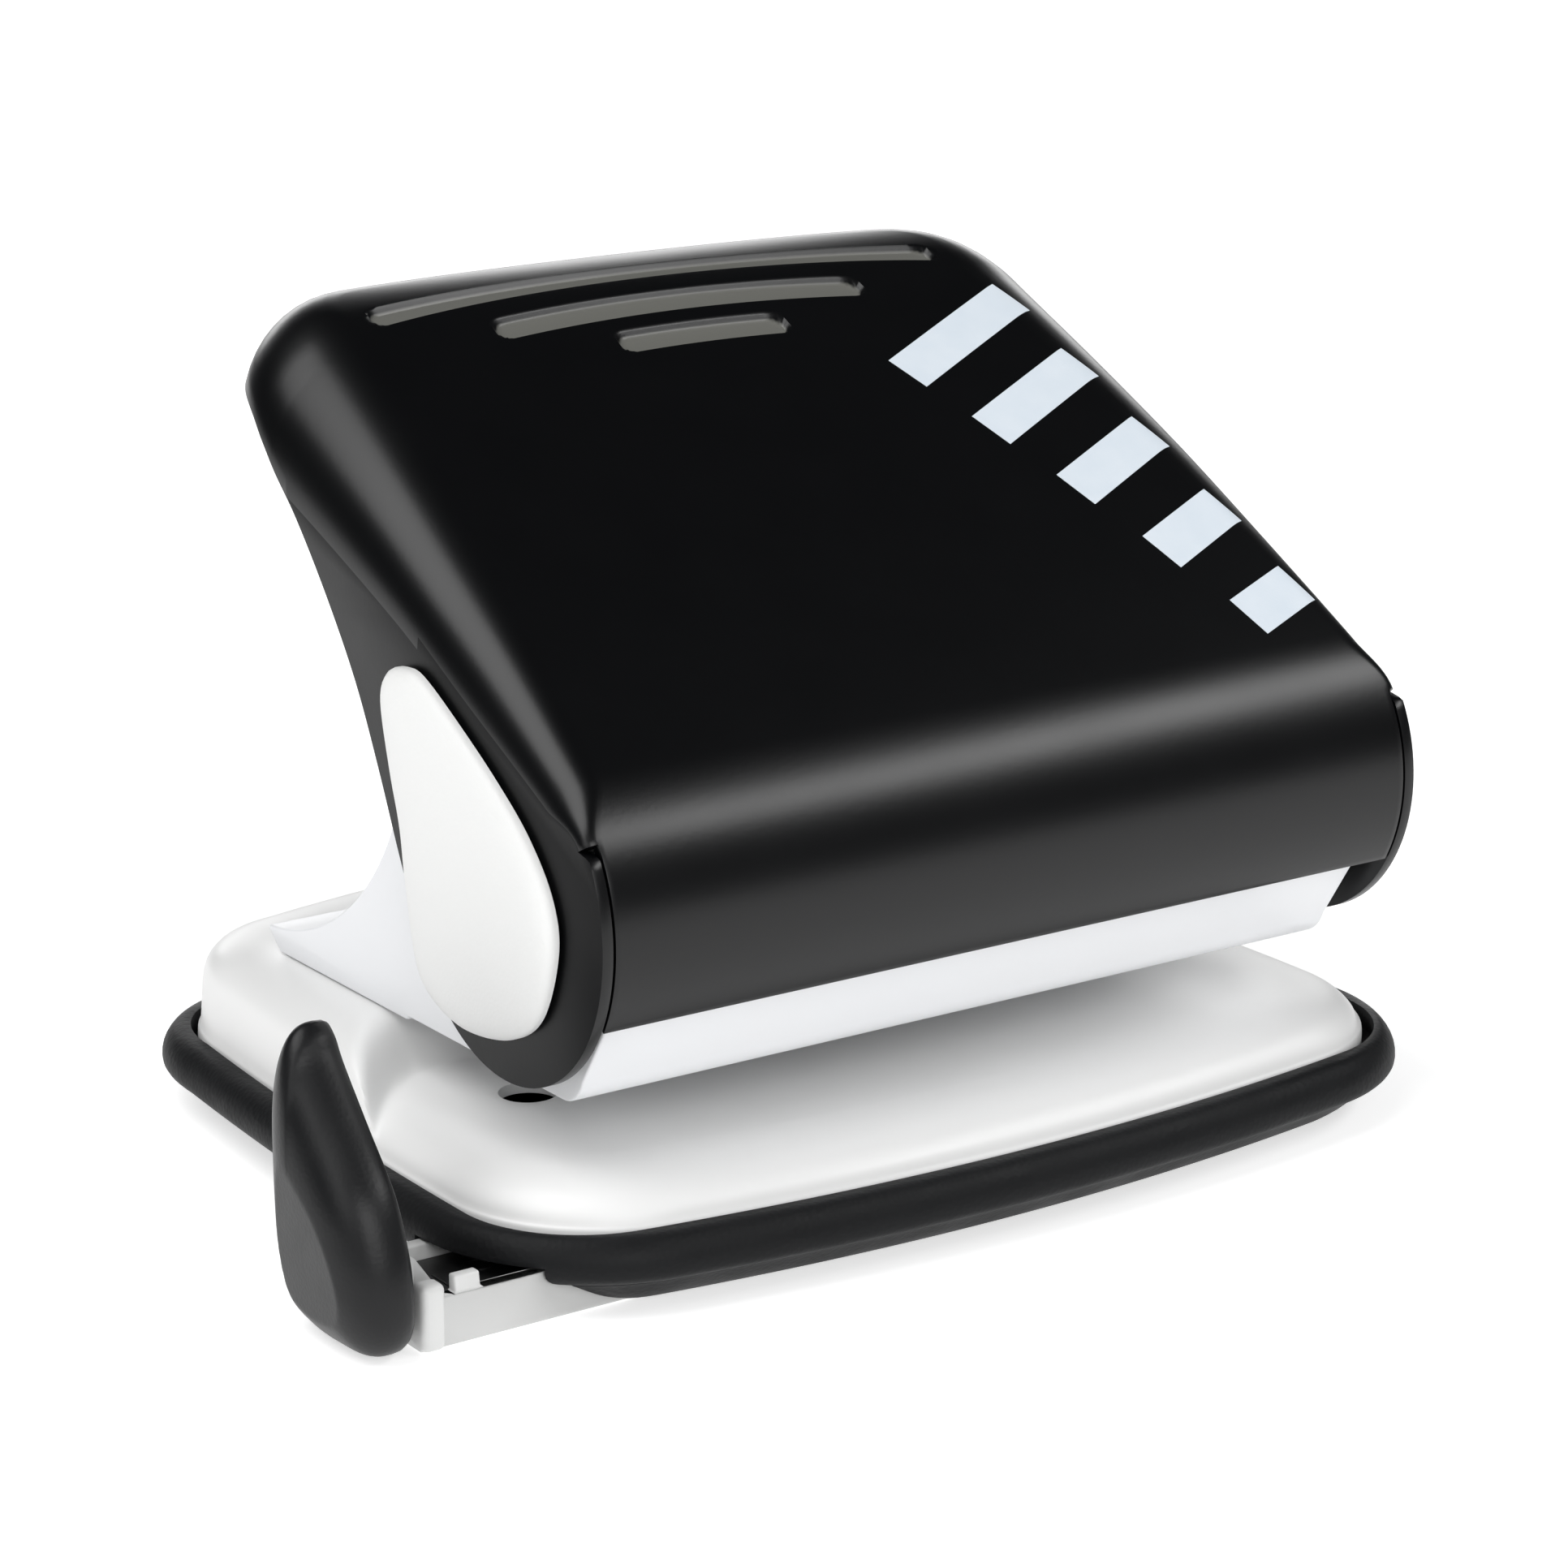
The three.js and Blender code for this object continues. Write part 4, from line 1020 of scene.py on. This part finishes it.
strip = bevel(block(RAIL_OUT_X + 2.8, 37.5, 4.9, 15.4, 1.7, STRIP_TOP), 0.2)
marks = []
for i in range(MARKS):
    x = MARK_X0 + MARK_PITCH * i
    tick_end = 9.0 if i % 2 else 11.2
    marks.append(bevel(block(x, x + 0.5, 5.6, tick_end, STRIP_TOP - 0.05, MARK_TOP), 0.06))
    if i < MARKS - 1:
        marks.append(raised_ring(x + 5.2))
dress(join(strip, *marks), "scale_strip_skin", STRIP_BLACK, "stop_plastic", "rail",
      "scale_strip")


# ---------- pins, springs, axle and rivets ----------

PIN_R, PIN_HEAD_R, PIN_TOP, DOME_R = 2.75, 4.6, 41.35, 6.0
COLLAR_TOP = 37.6
SPRING_FOOT_Z = 25.3
SPRING_R, WIRE_R, SPRING_TURNS = 3.75, 0.42, 4.5
SPRING_LOW, SPRING_HIGH = SPRING_FOOT_Z + WIRE_R, COLLAR_TOP - 1.5 - WIRE_R
WASHER_GAP = 0.4


def punch_pin(side):
    """A pin with a domed head, and a notch across its tip."""
    dome = [(r, PIN_TOP - DOME_R + math.sqrt(DOME_R ** 2 - r * r))
            for r in spread(PIN_HEAD_R, 0, 10)]
    head = dome[0][1] - 1.2
    tip = JAW_Z + 0.1
    pin = lathe([(0, tip), (PIN_R - 0.05, tip), (PIN_R, tip + 0.05), (PIN_R, head),
                 (PIN_HEAD_R - 0.2, head), (PIN_HEAD_R, head + 0.2)] + dome, side * HOLE_X, PIN_Y)
    notch = [(PIN_Y - 2.6, tip - 1), (PIN_Y + 2.6, tip - 1), (PIN_Y, tip + 1.1)]
    return carve(pin, across(notch, side * HOLE_X - 4, side * HOLE_X + 4))


def spring(side):
    """A round-wire helix with closed ends."""
    loops = []
    for t in spread(0, 1, 180):
        turn = 2 * math.pi * SPRING_TURNS * t
        out = Vector((math.cos(turn), math.sin(turn), 0))
        middle = Vector((side * HOLE_X, PIN_Y, mix(SPRING_LOW, SPRING_HIGH, t))) + out * SPRING_R
        loops.append([tuple(middle + out * WIRE_R * cos_d(a) + Vector((0, 0, WIRE_R * sin_d(a))))
                      for a in turns(12)])
    return stacked(loops)


def spring_collar(side):
    top, low = COLLAR_TOP, COLLAR_TOP - 1.2
    return lathe([(3.0, low), (4.5, low), (4.7, low + 0.2), (4.7, top - 0.2), (4.5, top),
                  (3.0, top)], side * HOLE_X, PIN_Y)


def axle_washer(side):
    x0, x1 = sorted((side * (FRAME_X + WASHER_GAP), side * (HANDLE_X - SHEET - WASHER_GAP)))
    bore = rod(AXLE_R + 0.1, x0 - 1, x1 + 1, PIVOT_Y, PIVOT_Z, edge=0.01)
    return carve(rod(5.0, x0, x1, PIVOT_Y, PIVOT_Z), bore)


for side, name in ((-1, "left"), (1, "right")):
    dress(punch_pin(side), f"punch_pin_{name}_skin", STEEL, "steel", f"pin_{name}",
          f"punch_pin_{name}")
    dress(spring_collar(side), f"spring_collar_{name}_skin", STEEL, "steel", f"pin_{name}",
          f"spring_collar_{name}")
    coil = dress(spring(side), f"return_spring_{name}_skin", SPRING_STEEL, "spring_steel", "base",
                 f"return_spring_{name}")
    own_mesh(coil)
    dress(axle_washer(side), f"axle_washer_{name}_skin", RAIL_WHITE, "rail_plastic", "handle",
          f"axle_washer_{name}")

axle_end = HANDLE_X - SHEET - 0.05
axle = rod(AXLE_R, -axle_end, axle_end, PIVOT_Y, PIVOT_Z)
dress(axle, "pivot_axle_skin", STEEL, "steel", "handle", "pivot_axle")

RIVET = [(0, 16.0), (2.6, 16.4), (2.6, 17.0), (1.6, 17.0), (1.6, 20.4), (3.0, 20.4),
         (2.8, 20.9), (2.2, 21.4), (1.3, 21.7), (0, 21.8)]  # radius, z
for i, (x, y) in enumerate(((-41, 50.5), (41, 50.5), (-41, 58), (41, 58))):
    dress(lathe(RIVET, x, y), f"frame_rivet_{i + 1}_skin", STEEL, "steel", "base",
          f"frame_rivet_{i + 1}")


# ---------- floor, light and camera ----------

FLOOR_REACH = 60.0
LENS, SENSOR = 104.4, 36.0
CAMERA_AT = (-0.26773, -0.38864, 0.17342)
AZIMUTH, ELEVATION = -34.682, 16.282


def make_floor():
    """A pale sheet that glows a little, so that it stays light all round the object."""
    r = FLOOR_REACH
    mesh = bpy.data.meshes.new("floor")
    mesh.from_pydata([(-r, -r, 0), (r, -r, 0), (r, r, 0), (-r, r, 0)], [], [(0, 1, 2, 3)])
    obj = linked(mesh, "floor")
    mat = bpy.data.materials.new("floor_paper")
    mat.use_nodes = True
    shader = mat.node_tree.nodes["Principled BSDF"]
    shader.inputs["Base Color"].default_value = (0.76, 0.76, 0.76, 1)
    shader.inputs["Roughness"].default_value = 0.9
    shader.inputs["Specular IOR Level"].default_value = 0.1
    shader.inputs["Emission Color"].default_value = (1, 1, 1, 1)
    shader.inputs["Emission Strength"].default_value = 0.60
    mesh.materials.append(mat)


def softbox(name, direction, distance, size, power, aim=(0, 0, 0.04)):
    """A rectangular light that far from the aim in that direction, facing it."""
    light = bpy.data.lights.new(name, "AREA")
    light.shape = "RECTANGLE"
    light.size, light.size_y = size
    light.energy = power
    obj = linked(light, name)
    toward = Vector(direction).normalized()
    obj.location = Vector(aim) + toward * distance
    obj.rotation_euler = toward.to_track_quat("Z", "Y").to_euler()


make_floor()
softbox("key", (0.60, -0.48, 0.68), 1.15, (0.74, 0.22), 3.9)
softbox("left", (-0.92, -0.40, 0.50), 1.3, (0.80, 0.60), 2.2)
softbox("high_left", (-0.50, 0.12, 0.86), 1.2, (0.90, 0.80), 8.6)
softbox("front", (-0.22, -0.90, 0.46), 1.3, (0.90, 0.60), 6.2)
softbox("back", (0.46, 0.82, 0.20), 1.3, (1.30, 0.34), 4.5)

world = bpy.data.worlds.new("studio")
world.use_nodes = True
world.node_tree.nodes["Background"].inputs["Color"].default_value = (0.9, 0.95, 1.0, 1)
world.node_tree.nodes["Background"].inputs["Strength"].default_value = 0.03
bpy.context.scene.world = world
bpy.context.scene.view_settings.view_transform = "Standard"

camera_data = bpy.data.cameras.new("camera")
camera_data.lens = LENS
camera_data.sensor_width = SENSOR
camera = linked(camera_data, "camera")
camera.location = CAMERA_AT
behind = Vector((sin_d(AZIMUTH) * cos_d(ELEVATION), -cos_d(AZIMUTH) * cos_d(ELEVATION),
                 sin_d(ELEVATION)))
camera.rotation_euler = behind.to_track_quat("Z", "Y").to_euler()
bpy.context.scene.camera = camera
